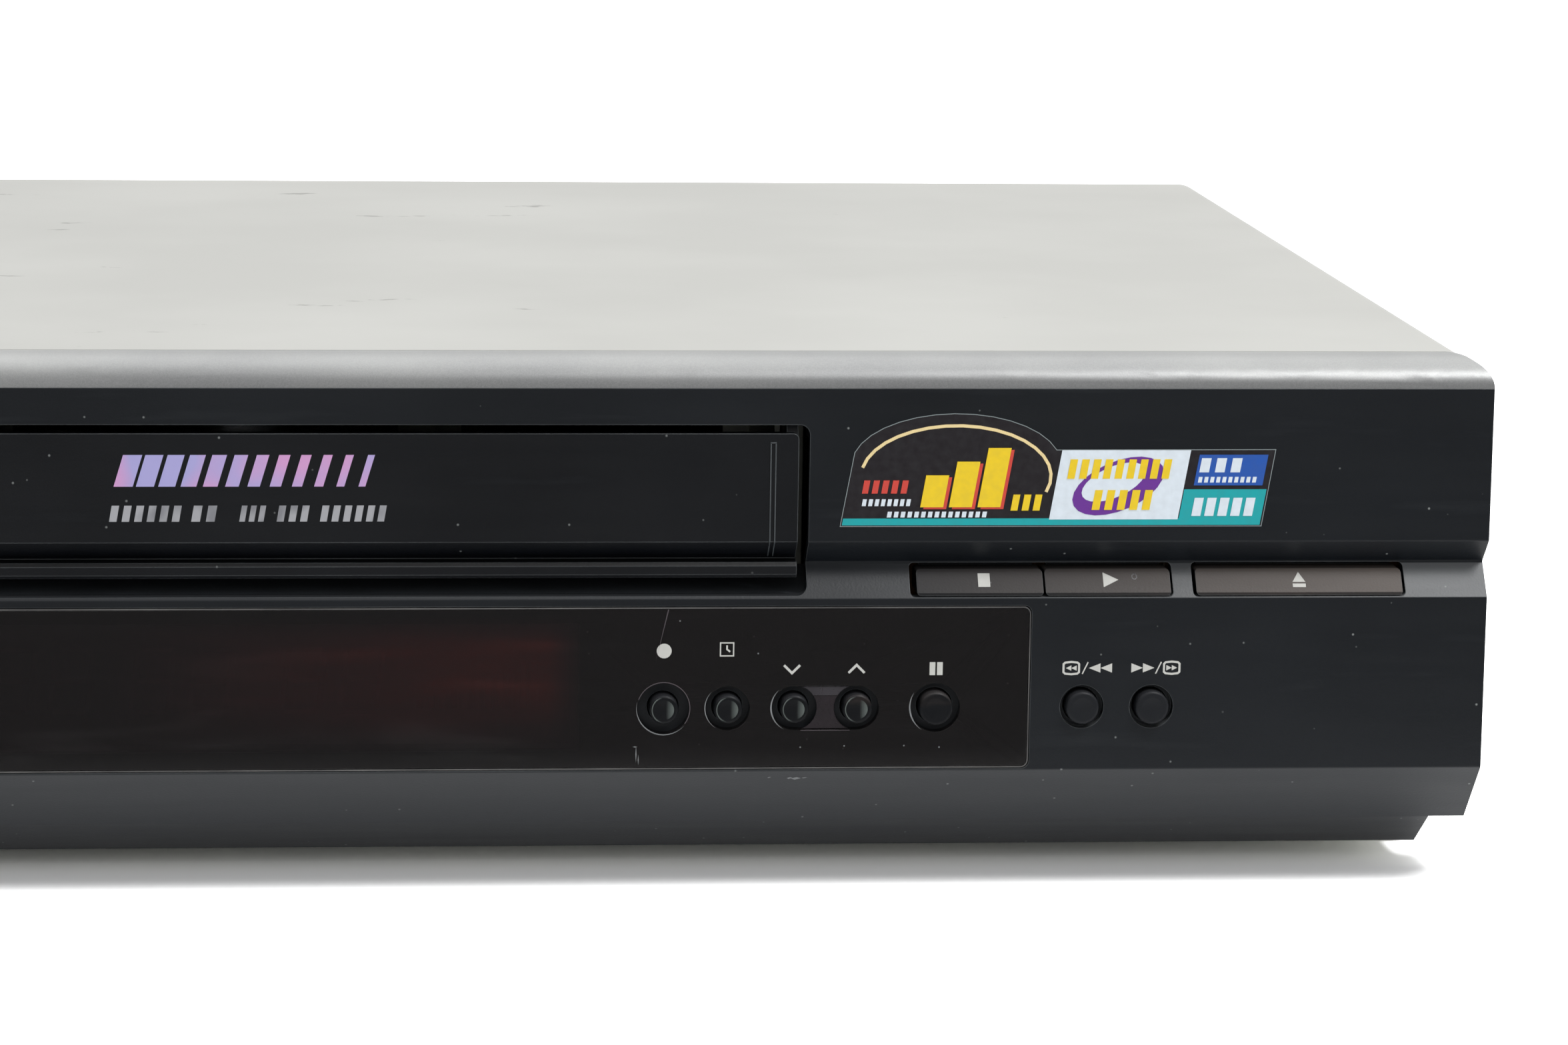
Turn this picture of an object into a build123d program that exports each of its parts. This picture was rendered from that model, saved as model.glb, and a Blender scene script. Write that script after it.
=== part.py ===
from build123d import *

import os
from math import atan2, degrees, hypot

# A full-width VHS cassette recorder, front face towards -Y, +X to the viewer's right, +Z up.
# The origin is at the middle of the footprint, on the surface that the feet stand on.
# Depths are counted back from the flat front face, and heights up from the underside of the chin.

os.makedirs("parts", exist_ok=True)

# ---- overall sizes, mm ----
width = 430.0
body_height = 91.4
foot_drop = 4.0
cover_depth = 276.5
socket_reach = 6.5
key_proud = 1.4

front_y = key_proud - (key_proud + cover_depth + socket_reach) / 2


def back(depth):
    """Y of a point that lies this deep behind the front face."""
    return front_y + depth


def up(height):
    """Z of a point that lies this high above the chin's underside."""
    return foot_drop + height


def places(points):
    """Pairs of depth and height, as points of a YZ sketch."""
    return [(back(depth), up(height)) for depth, height in points]


def upright(depth):
    """An XZ sketch plane at a depth; a negative extrusion goes further back."""
    return Plane.XZ.offset(-back(depth))


def level(height):
    """An XY sketch plane at a height."""
    return Plane.XY.offset(up(height))


def save(piece, name):
    piece.part.label = name
    export_step(piece.part, f"parts/{name}.step")


# ---- clearances ----
running_gap = 0.05  # radial, a shaft in its hole
moving_gap = 0.3  # between pieces that pass each other
key_gap = 0.25  # round a push key
fit_gap = 0.15  # round a piece that is clipped in

# ---- front moulding ----
wall = 2.2
panel_depth = 22.0
step_depth = 11.2
chin_height = 7.0
face_low = 18.5
face_high = 49.0
groove_depth = 4.5
groove_height = 54.7
brow_height = 59.1
trim_height = 86.0
trim_bend = 7.0
seam_depth = 8.0
chin_inset = 6.4
face_thickness = 4.0
rail_top = chin_height + 6.0
skirt_width = width - 2 * chin_inset

face_line = [
    (step_depth, chin_height),
    (0, face_low),
    (0, face_high),
    (groove_depth, groove_height),
    (0, brow_height),
    (0, trim_height),
]

# ---- cassette, its opening and its path ----
deck_x = -2.3
cassette_width = 188.0
cassette_height = 25.0
slot_side = 3.35
slot_left = deck_x - cassette_width / 2 - slot_side
slot_right = deck_x + cassette_width / 2 + slot_side
slot_low = 49.5
slot_high = 79.6
slot_radius = 1.8
cassette_low = slot_low + 0.4

# ---- cassette flap ----
flap_side_gap = 1.9
flap_top_gap = 1.5
flap_low = 52.6
flap_lip_top = 55.6
flap_wall = 2.2
flap_lip_depth = 6.0
flap_corner = 1.0
flap_left = slot_left + flap_side_gap
flap_right = slot_right - flap_side_gap
flap_top = slot_high - flap_top_gap
hinge_depth = 4.4
hinge_height = slot_high + 0.4
hinge_pin = 1.2
hinge_eye = 2.0
hinge_ear = 2.0
lug_width = 3.0
spring_wire = 0.4
spring_length = 5.0

# ---- display window and the keys on the lower face ----
window_half = 134.3
window_low = 18.9
window_high = 47.6
window_thickness = 2.0
window_corner = 1.2
display_left = -56.0
display_right = 54.0
display_low = 22.0
display_high = 44.5
display_front = 5.0
key_height = 29.7
key_travel = 1.0
dish_depth = 0.2
key_flange = 0.9
key_flange_thickness = 1.0
key_stem = 1.5
key_back = 9.0
channel_down_x = 93.0
channel_up_x = 104.0
channel_recess = 7.7

# name, centre X, recess diameter, cap diameter
round_keys = [
    ("record_button", 70.2, 9.0, 5.1),
    ("timer_button", 81.4, 7.7, 5.0),
    ("channel_down_button", channel_down_x, channel_recess, 5.0),
    ("channel_up_button", channel_up_x, channel_recess, 5.2),
    ("pause_button", 117.8, 8.6, 5.9),
    ("rewind_button", 143.6, 7.7, 5.8),
    ("fast_forward_button", 155.9, 7.7, 5.9),
]

end_key_inner = 163.5
end_key_outer = width / 2 - 14.9

# name, left X, right X of the bar keys that sit in the groove under the brow
bar_keys = [
    ("stop_button", 114.3, 136.5),
    ("play_button", 136.9, 159.0),
    ("eject_button", end_key_inner, end_key_outer),
    ("power_button", -end_key_outer, -end_key_inner),
]

# left X, right X of the openings that the bar keys come through
bar_slots = [
    (113.1, 159.4),
    (end_key_inner - 0.6, end_key_outer + 0.5),
    (-end_key_outer - 0.5, 0.6 - end_key_inner),
]
bar_low = face_high + 0.4
bar_high = 53.6
bar_corner = 0.7
bar_lean = groove_depth / (groove_height - face_high)
bar_slot_low = face_high + 0.2
bar_slot_high = groove_height - 0.1

# ---- front board ----
board_thickness = 1.6
board_depth = 14.0
board_low = 12.0
board_high = 46.0
board_tab_high = 62.0
board_half = skirt_width / 2 - wall - 2.4
switch_size = 6.0
switch_front = key_back + key_travel + moving_gap

# ---- front audio and video sockets ----
socket_ring = 4.15
socket_bore = 3.0
socket_well = 6.5
front_socket_pitch = 16.0
front_socket_middle = -(skirt_width / 2 - wall + window_half) / 2
front_socket_x = [front_socket_middle + turn * front_socket_pitch for turn in (-1, 0, 1)]
front_socket_height = 32.0

# ---- casing ----
sheet = 1.0
cover_inset = 2.3
cover_half = width / 2 - cover_inset
cover_bend = 4.7
cover_side_low = rail_top + moving_gap
plate_low = 1.0
plate_thickness = 1.2
plate_top = plate_low + plate_thickness
flange_height = 22.0
notch = 8.0
notch_depth = 14.0
chassis_half = cover_half - sheet - moving_gap
rear_outer = cover_depth - sheet - moving_gap
rear_inner = rear_outer - plate_thickness
screw_shank = 1.5
screw_head = 3.2
screw_head_height = 1.6
cover_screw_height = 17.0
cover_screw_depths = [60.0, 220.0]
rear_screw_x = [-150.0, 0.0, 150.0]
rear_lip = 10.0

# ---- main board ----
main_board_low = 6.2
main_board_top = main_board_low + board_thickness
main_board_half = chassis_half - 6.4
main_board_front = 24.0
main_board_back = rear_inner - 2.0
spacer_radius = 3.0
spacer_inset = 15.0

# ---- tape deck ----
deck_half = 104.0
deck_front = 34.0
deck_back = 236.0
deck_low = 18.5
deck_thickness = 1.5
deck_top = deck_low + deck_thickness
post_radius = 4.0
post_inset = 8.0

# ---- cassette carriage ----
holder_sheet = 1.0
holder_front = 34.0
holder_stop = holder_front + 48.0
holder_room = 0.5
carriage_travel = 66.0
holder_drop = 20.0
holder_half = cassette_width / 2 + holder_room
holder_low = cassette_low - 0.3
holder_high = cassette_low + cassette_height + holder_room
holder_flange = 10.0
holder_pin = 1.5
holder_pin_height = 63.0
holder_pin_depths = [holder_front + 12.0, holder_front + 38.0]
slider_sheet = 1.2
slider_half = holder_half + holder_sheet + 0.5
slider_front = holder_front + 2.0
slider_back = holder_stop
slider_low = 38.0
slider_top = 81.0
slider_bar_low = slider_top - 2.0
slider_pin = 2.5
slider_pin_height = 71.0
slider_pin_depths = [slider_front + 7.0, slider_back - 7.0]
frame_sheet = 1.5
frame_half = slider_half + slider_sheet + 1.0
frame_top = 84.0
frame_back = slider_back + carriage_travel + 4.0

# ---- running gear ----
reel_spacing = 91.4
reel_depth = 88.0
reel_radius = 22.0
reel_hub = 11.0
reel_spindle = 6.0
reel_top = 38.0
spindle_pin = 1.5
idler_arm_length = 22.0
idler_radius = 19.0
idler_depth = reel_depth + idler_arm_length
drum_depth = 190.0
drum_radius = 31.0
drum_tilt = 5.97
lower_drum_height = 16.0
upper_drum_height = 15.0
drum_gap = 0.4
drum_shaft = 3.0
capstan_x = deck_x + 72.0
capstan_depth = 168.0
capstan_shaft = 2.0
motor_width = 52.0
motor_length = 46.0
capstan_top = 50.0
flywheel_radius = 28.0
pulley_radius = 12.0
pulley_low = 9.4
pulley_high = 12.8
belt_thickness = 0.8
pinch_pivot_x = deck_x + 92.0
pinch_pivot_depth = 182.0
pinch_reach = 19.9
pinch_rest_angle = 261.0
pinch_radius = 7.0
guide_rest_x = 22.0
guide_rest_depth = 138.0
guide_post = 3.0
guide_top = 48.0
tension_pivot_x = deck_x - 90.0
tension_pivot_depth = 162.0
tension_reach = 16.5
cam_x = deck_x - 72.0
cam_depth = 208.0
cam_radius = 20.0

# ================= front moulding =================
edge_radius = 0.5


def soften(shape):
    """Rounds the corners of the face line in a YZ sketch, as moulded edges are."""
    corners = [Vector(*point, 0) for point in places(face_line[:-1])]
    for corner in corners:
        nearest = shape.vertices().sort_by_distance(corner)[0]
        fillet(nearest, edge_radius)


board_bosses = [
    (-120.0, 40.0), (-120.0, 24.0), (62.0, 42.0), (131.0, 40.0), (board_half - 14.0, 30.0),
    (front_socket_middle + front_socket_pitch + 14.35, 33.0),
]
boss_radius = 3.0
panel_back_line = [(panel_depth, 0)] + face_line + [(panel_depth, trim_height)]
hollow_reach = panel_depth + 20.0

with BuildPart() as front_panel:
    with BuildSketch(Plane.YZ.offset(-width / 2)) as end_profile:
        with BuildLine():
            Polyline(
                *places([(panel_depth, chin_height)] + face_line),
                *places([(seam_depth, trim_height), (seam_depth, rail_top), (panel_depth, rail_top)]),
                close=True,
            )
        make_face()
        soften(end_profile)
    extrude(amount=width)
    # the ends are hollow back to the seam with the cover
    with BuildSketch(Plane.YZ.offset(wall - width / 2)):
        with BuildLine():
            Polyline(
                *places([(hollow_reach, face_low), (0, face_low)] + face_line[2:]),
                *places([(hollow_reach, trim_height)]),
                close=True,
            )
        make_face()
        offset(amount=-wall, kind=Kind.INTERSECTION)
    extrude(amount=width - 2 * wall, mode=Mode.SUBTRACT)
    # skirt that goes inside the cover and down to the chin
    with BuildSketch(Plane.YZ.offset(-skirt_width / 2)) as skirt_profile:
        with BuildLine():
            Polyline(*places(panel_back_line), close=True)
        make_face()
        soften(skirt_profile)
    extrude(amount=skirt_width)
    with BuildSketch(Plane.YZ.offset(wall - skirt_width / 2)):
        with BuildLine():
            Polyline(
                *places([(hollow_reach, 0), (panel_depth, 0)] + face_line),
                *places([(hollow_reach, trim_height)]),
                close=True,
            )
        make_face()
        offset(amount=-wall, kind=Kind.INTERSECTION)
    extrude(amount=skirt_width - 2 * wall, mode=Mode.SUBTRACT)
    # thicker wall behind the lower face, which holds the window and the key wells
    with BuildSketch(upright(wall / 2)):
        with Locations((0, up((face_low + face_high) / 2))):
            Rectangle(skirt_width, face_high - face_low)
    extrude(amount=wall / 2 - face_thickness)
    # bosses that carry the front board
    with BuildSketch(upright(wall)):
        with Locations(*[(x, up(height)) for x, height in board_bosses]):
            Circle(boss_radius)
    extrude(amount=wall - board_depth)
    # lugs for the flap's hinge pins, on the brow wall just outside the cassette opening
    with BuildSketch(upright(wall / 2)):
        with Locations(
            (slot_left - lug_width / 2, up(hinge_height)),
            (slot_right + lug_width / 2, up(hinge_height)),
        ):
            Rectangle(lug_width, 2 * hinge_eye + 2)
    extrude(amount=wall / 2 - hinge_depth - hinge_eye - 1)
    with BuildSketch(Plane.YZ.offset(slot_left - lug_width)):
        with Locations((back(hinge_depth), up(hinge_height))):
            Circle(hinge_pin + running_gap)
    extrude(amount=slot_right - slot_left + 2 * lug_width, mode=Mode.SUBTRACT)
    # cassette opening
    with BuildSketch(upright(-1)):
        with Locations(((slot_left + slot_right) / 2, up((slot_low + slot_high) / 2))):
            RectangleRounded(slot_right - slot_left, slot_high - slot_low, slot_radius)
    extrude(amount=-hollow_reach, mode=Mode.SUBTRACT)
    # seat of the display window
    with BuildSketch(upright(-1)):
        with Locations((0, up((window_low + window_high) / 2))):
            RectangleRounded(
                2 * (window_half + fit_gap),
                window_high - window_low + 2 * fit_gap,
                window_corner + fit_gap,
            )
    extrude(amount=-1 - window_thickness, mode=Mode.SUBTRACT)
    # opening in front of the display tube
    with BuildSketch(upright(-1)):
        with Locations(((display_left + display_right) / 2, up((display_low + display_high) / 2))):
            Rectangle(display_right - display_left + 3, display_high - display_low)
    extrude(amount=-1 - face_thickness, mode=Mode.SUBTRACT)
    for name, x, recess, cap in round_keys:
        if x > window_half:
            with BuildSketch(upright(-1)):
                with Locations((x, up(key_height))):
                    Circle(recess / 2)
            extrude(amount=-1 - window_thickness, mode=Mode.SUBTRACT)
        with BuildSketch(upright(-1)):
            with Locations((x, up(key_height))):
                Circle(cap / 2 + key_gap)
        extrude(amount=-1 - face_thickness, mode=Mode.SUBTRACT)
    for left, right in bar_slots:
        with BuildSketch(upright(-1)):
            with Locations(((left + right) / 2, up((bar_slot_low + bar_slot_high) / 2))):
                RectangleRounded(right - left, bar_slot_high - bar_slot_low, bar_corner + fit_gap)
        extrude(amount=-1 - board_depth, mode=Mode.SUBTRACT)
    with BuildSketch(upright(-1)):
        with Locations(*[(x, up(front_socket_height)) for x in front_socket_x]):
            Circle(socket_well)
    extrude(amount=-1 - face_thickness, mode=Mode.SUBTRACT)
save(front_panel, "front_panel")

# silver strip that rounds the top edge and meets the cover
trim_rise = body_height - trim_height
with BuildPart() as top_trim:
    with BuildSketch(Plane.YZ.offset(-width / 2)):
        with BuildLine():
            Line(*places([(seam_depth, trim_height), (0, trim_height)]))
            EllipticalCenterArc(
                (back(seam_depth), up(trim_height)), seam_depth, trim_rise, start_angle=90, arc_size=90
            )
            Line(*places([(seam_depth, body_height), (seam_depth, trim_height)]))
        make_face()
    extrude(amount=width)
    # seen from the front, its upper corners are round as well
    with BuildSketch(upright(-1)):
        with BuildLine():
            right_bend = EllipticalCenterArc(
                (width / 2 - trim_bend, up(trim_height)), trim_bend, trim_rise, start_angle=0, arc_size=90
            )
            left_bend = EllipticalCenterArc(
                (trim_bend - width / 2, up(trim_height)), trim_bend, trim_rise, start_angle=90, arc_size=90
            )
            Line(right_bend @ 1, left_bend @ 0)
            Polyline(
                left_bend @ 1,
                (-width / 2, up(trim_height - 1)),
                (width / 2, up(trim_height - 1)),
                right_bend @ 0,
            )
        make_face()
    extrude(amount=-2 - seam_depth, mode=Mode.INTERSECT)
    with BuildSketch(Plane.YZ.offset(wall + trim_bend - width / 2)):
        with BuildLine():
            Line(*places([(seam_depth - wall, trim_height), (wall, trim_height)]))
            EllipticalCenterArc(
                (back(seam_depth - wall), up(trim_height)),
                seam_depth - 2 * wall,
                trim_rise - wall,
                start_angle=90,
                arc_size=90,
            )
            Line(*places([(seam_depth - wall, body_height - wall), (seam_depth - wall, trim_height)]))
        make_face()
    extrude(amount=width - 2 * (wall + trim_bend), mode=Mode.SUBTRACT)
save(top_trim, "top_trim")

# ================= cassette flap =================
flap_line = [
    (0, flap_top),
    (0, brow_height),
    (groove_depth - 0.7, flap_lip_top),
    (1.4, flap_lip_top - 0.3),
    (0.9, flap_lip_top - 0.9),
    (0.9, flap_low + 0.6),
    (1.4, flap_low),
    (flap_lip_depth, flap_low),
    (flap_lip_depth, groove_height + 2.3),
    (flap_wall, brow_height + 1.4),
    (flap_wall, flap_top),
]
with BuildPart() as cassette_flap:
    with BuildSketch(Plane.YZ.offset(flap_left)):
        with BuildLine():
            Polyline(*places(flap_line), close=True)
        make_face()
    extrude(amount=flap_right - flap_left)
    fillet(
        cassette_flap.edges().filter_by(Axis.Y).group_by(Axis.Z)[-1],
        flap_corner,
    )
    # ears that reach up behind the brow to the hinge pins
    with BuildSketch(Plane.YZ.offset(flap_left)) as ear_shape:
        with BuildLine():
            Polyline(
                *places(
                    [
                        (flap_wall / 2, flap_top - flap_corner - 6),
                        (flap_wall / 2, flap_top - flap_corner - 1),
                        (hinge_depth - hinge_eye, hinge_height),
                        (hinge_depth + hinge_eye, hinge_height),
                        (hinge_depth + hinge_eye, flap_top - flap_corner - 4),
                    ]
                ),
                close=True,
            )
        make_face()
        with Locations((back(hinge_depth), up(hinge_height))):
            Circle(hinge_eye)
    extrude(amount=hinge_ear)
    extrude(ear_shape.sketch.moved(Location((flap_right - flap_left - hinge_ear, 0, 0))), amount=hinge_ear)
    with BuildSketch(Plane.YZ.offset(flap_left - flap_side_gap - lug_width)):
        with Locations((back(hinge_depth), up(hinge_height))):
            Circle(hinge_pin)
    extrude(amount=flap_side_gap + lug_width)
    with BuildSketch(Plane.YZ.offset(flap_right)):
        with Locations((back(hinge_depth), up(hinge_height))):
            Circle(hinge_pin)
    extrude(amount=flap_side_gap + lug_width + moving_gap + spring_length + 0.5)
save(cassette_flap, "cassette_flap")

# closing spring, close-wound on the end of the right-hand pin
spring_start = slot_right + lug_width + moving_gap
spring_turns = int(spring_length / (2 * spring_wire))
spring_mean = hinge_pin + 0.1 + spring_wire
with BuildPart() as flap_spring:
    with BuildSketch(Plane.XY.offset(up(hinge_height))):
        for turn in range(spring_turns):
            turn_x = spring_start + spring_wire + turn * 1.8 * spring_wire
            with Locations((turn_x, back(hinge_depth) + spring_mean)):
                Circle(spring_wire)
    revolve(axis=Axis((0, back(hinge_depth), up(hinge_height)), (1, 0, 0)))
    with BuildSketch(Plane.XY.offset(up(hinge_height) - 9)):
        with Locations((spring_start + spring_wire, back(hinge_depth) + spring_mean)):
            Circle(spring_wire * 0.9)
    extrude(amount=9)
save(flap_spring, "flap_spring")

# ================= display window and keys =================
with BuildPart() as display_window:
    with BuildSketch(upright(0)):
        with Locations((0, up((window_low + window_high) / 2))):
            RectangleRounded(2 * window_half, window_high - window_low, window_corner)
    extrude(amount=-window_thickness)
    front_edges = display_window.faces().sort_by(Axis.Y)[0].edges()
    chamfer(front_edges, 0.35)
    for name, x, recess, cap in round_keys:
        if x < window_half:
            with BuildSketch(upright(-1)):
                with Locations((x, up(key_height))):
                    Circle(recess / 2)
            extrude(amount=-2 - window_thickness, mode=Mode.SUBTRACT)
    # one long well joins the two channel keys
    with BuildSketch(upright(-1)):
        with Locations(((channel_down_x + channel_up_x) / 2, up(key_height))):
            SlotCenterToCenter(channel_up_x - channel_down_x, channel_recess)
    extrude(amount=-2 - window_thickness, mode=Mode.SUBTRACT)
save(display_window, "display_window")

for name, x, recess, cap in round_keys:
    with BuildPart() as round_key:
        with BuildSketch(upright(-key_proud)):
            with Locations((x, up(key_height))):
                Circle(cap / 2)
        extrude(amount=-key_proud - face_thickness - moving_gap)
        fillet(round_key.edges().group_by(Axis.Y)[0], 0.6)
        with BuildSketch(upright(face_thickness + moving_gap)):
            with Locations((x, up(key_height))):
                Circle(cap / 2 + key_flange)
        extrude(amount=-key_flange_thickness)
        with BuildSketch(upright(face_thickness + moving_gap)):
            with Locations((x, up(key_height))):
                Circle(key_stem)
        extrude(amount=face_thickness + moving_gap - key_back)
        # shallow dish for the fingertip
        dish_radius = 1.5 * cap
        with Locations((x, back(-key_proud) + dish_depth - dish_radius, up(key_height))):
            Sphere(dish_radius, mode=Mode.SUBTRACT)
    save(round_key, name)

bar_flange_front = key_back - key_flange_thickness
bar_chin_depth = 0.3
bar_chin = 0.5
bar_top_depth = bar_chin_depth + 0.2 + (bar_high - 0.4 - bar_low - bar_chin) * bar_lean
bar_line = [
    (bar_chin_depth, bar_low),
    (bar_chin_depth + 0.2, bar_low + bar_chin),
    (bar_top_depth, bar_high - 0.4),
    (bar_top_depth + 0.5, bar_high),
    (bar_flange_front, bar_high),
    (bar_flange_front, bar_low),
]
for name, left, right in bar_keys:
    with BuildPart() as bar_key:
        with BuildSketch(Plane.YZ.offset(left)):
            with BuildLine():
                Polyline(*places(bar_line), close=True)
            make_face()
        extrude(amount=right - left)
        fillet(bar_key.edges().filter_by(Axis.Y), bar_corner)
        with BuildSketch(upright(bar_flange_front)):
            with Locations(((left + right) / 2, up((bar_low + bar_high) / 2))):
                Rectangle(right - left - 2, bar_high - bar_low + 2)
        extrude(amount=-key_flange_thickness)
    save(bar_key, name)

# ================= front board =================
round_key_places = [(x, up(key_height)) for name, x, recess, cap in round_keys]
bar_key_places = [((left + right) / 2, up((bar_low + bar_high) / 2)) for name, left, right in bar_keys]
tab_left = slot_right + lug_width + spring_length + 3
tab_right = slot_left - lug_width - 3
with BuildPart() as front_board:
    with BuildSketch(upright(board_depth)):
        with Locations((0, up((board_low + board_high) / 2))):
            Rectangle(2 * board_half, board_high - board_low)
        with Locations(((tab_left + board_half) / 2, up((board_low + board_tab_high) / 2))):
            Rectangle(board_half - tab_left, board_tab_high - board_low)
        with Locations(((tab_right - board_half) / 2, up((board_low + board_tab_high) / 2))):
            Rectangle(board_half + tab_right, board_tab_high - board_low)
    extrude(amount=-board_thickness)
save(front_board, "front_board")

with BuildPart() as tact_switches:
    with BuildSketch(upright(board_depth)):
        with Locations(*round_key_places, *bar_key_places):
            Rectangle(switch_size, switch_size)
    extrude(amount=(board_depth - switch_front) * 0.7)
    with BuildSketch(upright(board_depth)):
        with Locations(*round_key_places, *bar_key_places):
            Circle(switch_size / 4)
    extrude(amount=board_depth - switch_front)
save(tact_switches, "tact_switches")

with BuildPart() as display_tube:
    with BuildSketch(upright(display_front)):
        with Locations(((display_left + display_right) / 2, up((display_low + display_high) / 2))):
            Rectangle(display_right - display_left, display_high - display_low - 1)
    extrude(amount=display_front - board_depth)
    chamfer(display_tube.faces().sort_by(Axis.Y)[0].edges(), 0.8)
save(display_tube, "display_tube")

with BuildPart() as front_av_sockets:
    with BuildSketch(upright(board_depth)):
        with Locations(*[(x, up(front_socket_height)) for x in front_socket_x]):
            Rectangle(12, 14)
    extrude(amount=board_depth - face_thickness - 1.5)
    with BuildSketch(upright(board_depth)):
        with Locations(*[(x, up(front_socket_height)) for x in front_socket_x]):
            Circle(socket_ring)
    extrude(amount=board_depth + 0.5)
    with BuildSketch(upright(-2)):
        with Locations(*[(x, up(front_socket_height)) for x in front_socket_x]):
            Circle(socket_bore)
    extrude(amount=-2 - 9, mode=Mode.SUBTRACT)
save(front_av_sockets, "front_av_sockets")

# ================= casing =================
top_low = body_height - sheet
with BuildPart() as top_cover:
    with BuildSketch(upright(seam_depth + moving_gap)):
        with BuildLine():
            Polyline(
                (-cover_half, up(cover_side_low)),
                (-cover_half, up(body_height)),
                (cover_half, up(body_height)),
                (cover_half, up(cover_side_low)),
                close=True,
            )
        make_face()
    extrude(amount=seam_depth + moving_gap - cover_depth)
    fillet(top_cover.edges().filter_by(Axis.Y).group_by(Axis.Z)[-1], cover_bend)
    with BuildSketch(upright(0)) as inside_shape:
        with BuildLine():
            Polyline(
                (sheet - cover_half, up(-1)),
                (sheet - cover_half, up(top_low)),
                (cover_half - sheet, up(top_low)),
                (cover_half - sheet, up(-1)),
                close=True,
            )
        make_face()
        fillet(inside_shape.vertices().group_by(Axis.Y)[-1], cover_bend - sheet)
    extrude(amount=-cover_depth, mode=Mode.SUBTRACT)
    # lip that turns down over the rear panel
    with BuildSketch(upright(cover_depth)):
        with Locations((0, up(body_height - rear_lip / 2))):
            Rectangle(2 * (cover_half - cover_bend), rear_lip - 0.2)
    extrude(amount=sheet)
    with BuildSketch(upright(cover_depth + 1)):
        with Locations(*[(x, up(body_height - rear_lip / 2 - 1)) for x in rear_screw_x]):
            Circle(screw_shank + fit_gap)
    extrude(amount=sheet + 2, mode=Mode.SUBTRACT)
    with BuildSketch(Plane.YZ.offset(-cover_half - 1)):
        with Locations(*[(back(depth), up(cover_screw_height)) for depth in cover_screw_depths]):
            Circle(screw_shank + fit_gap)
    extrude(amount=2 * cover_half + 2, mode=Mode.SUBTRACT)
save(top_cover, "top_cover")

with BuildPart() as cover_screws:
    with BuildSketch(Plane.YZ.offset(cover_half)):
        with Locations(*[(back(depth), up(cover_screw_height)) for depth in cover_screw_depths]):
            Circle(screw_head)
    extrude(amount=screw_head_height)
    with BuildSketch(Plane.YZ.offset(cover_half)):
        with Locations(*[(back(depth), up(cover_screw_height)) for depth in cover_screw_depths]):
            Circle(screw_shank)
    extrude(amount=-5)
    mirror(about=Plane.YZ)
    rear_screw_places = [(x, up(body_height - rear_lip / 2 - 1)) for x in rear_screw_x]
    with BuildSketch(upright(cover_depth)):
        with Locations(*rear_screw_places):
            Circle(screw_head)
    extrude(amount=-screw_head_height)
    with BuildSketch(upright(cover_depth)):
        with Locations(*rear_screw_places):
            Circle(screw_shank)
    extrude(amount=5)
save(cover_screws, "cover_screws")

spacer_places = [
    (x, back(depth))
    for x in (spacer_inset - main_board_half, -118.0, 112.0, main_board_half - spacer_inset)
    for depth in (main_board_front + 8, main_board_back - 10)
]
post_places = [
    (deck_x + side * (deck_half - post_inset), back(depth))
    for side in (-1, 1)
    for depth in (deck_front + post_inset, deck_back - post_inset)
]
foot_radius = 11.0
foot_inset = 32.7
foot_depths = [60.0, cover_depth - 32.5]
foot_places = [(side * (cover_half - foot_inset), back(depth)) for side in (-1, 1) for depth in foot_depths]
vent_x = 52.7 - cover_half
plate_back = rear_outer
with BuildPart() as chassis:
    with BuildSketch(level(plate_low)):
        with Locations((0, back((panel_depth + plate_back) / 2))):
            Rectangle(2 * chassis_half, plate_back - panel_depth)
    extrude(amount=plate_thickness)
    flange_front = panel_depth + moving_gap
    for side in (-1, 1):
        with BuildSketch(level(plate_low)):
            flange_x = side * (chassis_half - plate_thickness / 2)
            with Locations((flange_x, back((flange_front + plate_back) / 2))):
                Rectangle(plate_thickness, plate_back - flange_front)
        extrude(amount=flange_height)
    with BuildSketch(level(plate_low)):
        with Locations(*spacer_places):
            Circle(spacer_radius)
    extrude(amount=main_board_low - plate_low)
    with BuildSketch(level(plate_low)):
        with Locations(*post_places):
            Circle(post_radius)
    extrude(amount=deck_low - plate_low)
    # front corners are notched, clear of the ends of the panel's skirt
    with BuildSketch(level(plate_low - 1)):
        for side in (-1, 1):
            with Locations((side * (skirt_width / 2 + notch), back(panel_depth))):
                Rectangle(2 * notch, 2 * notch_depth)
    extrude(amount=flange_height + 2, mode=Mode.SUBTRACT)
    # rows of cooling slots under the power supply
    with BuildSketch(level(plate_low - 1)):
        with Locations((vent_x, back(cover_depth * 0.75)), (vent_x, back(cover_depth * 0.62))):
            with GridLocations(8, 0, 7, 1):
                SlotOverall(24, 3, rotation=90)
    extrude(amount=plate_thickness + 2, mode=Mode.SUBTRACT)
    with BuildSketch(Plane.YZ.offset(-cover_half - 1)):
        with Locations(*[(back(depth), up(cover_screw_height)) for depth in cover_screw_depths]):
            Circle(screw_shank + running_gap)
    extrude(amount=2 * cover_half + 2, mode=Mode.SUBTRACT)
save(chassis, "chassis")

with BuildPart() as feet:
    with BuildSketch(Plane.XY):
        with Locations(*foot_places):
            Circle(foot_radius)
    extrude(amount=foot_drop + plate_low)
    chamfer(feet.edges().group_by(Axis.Z)[0], 1.0)
save(feet, "feet")

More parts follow.
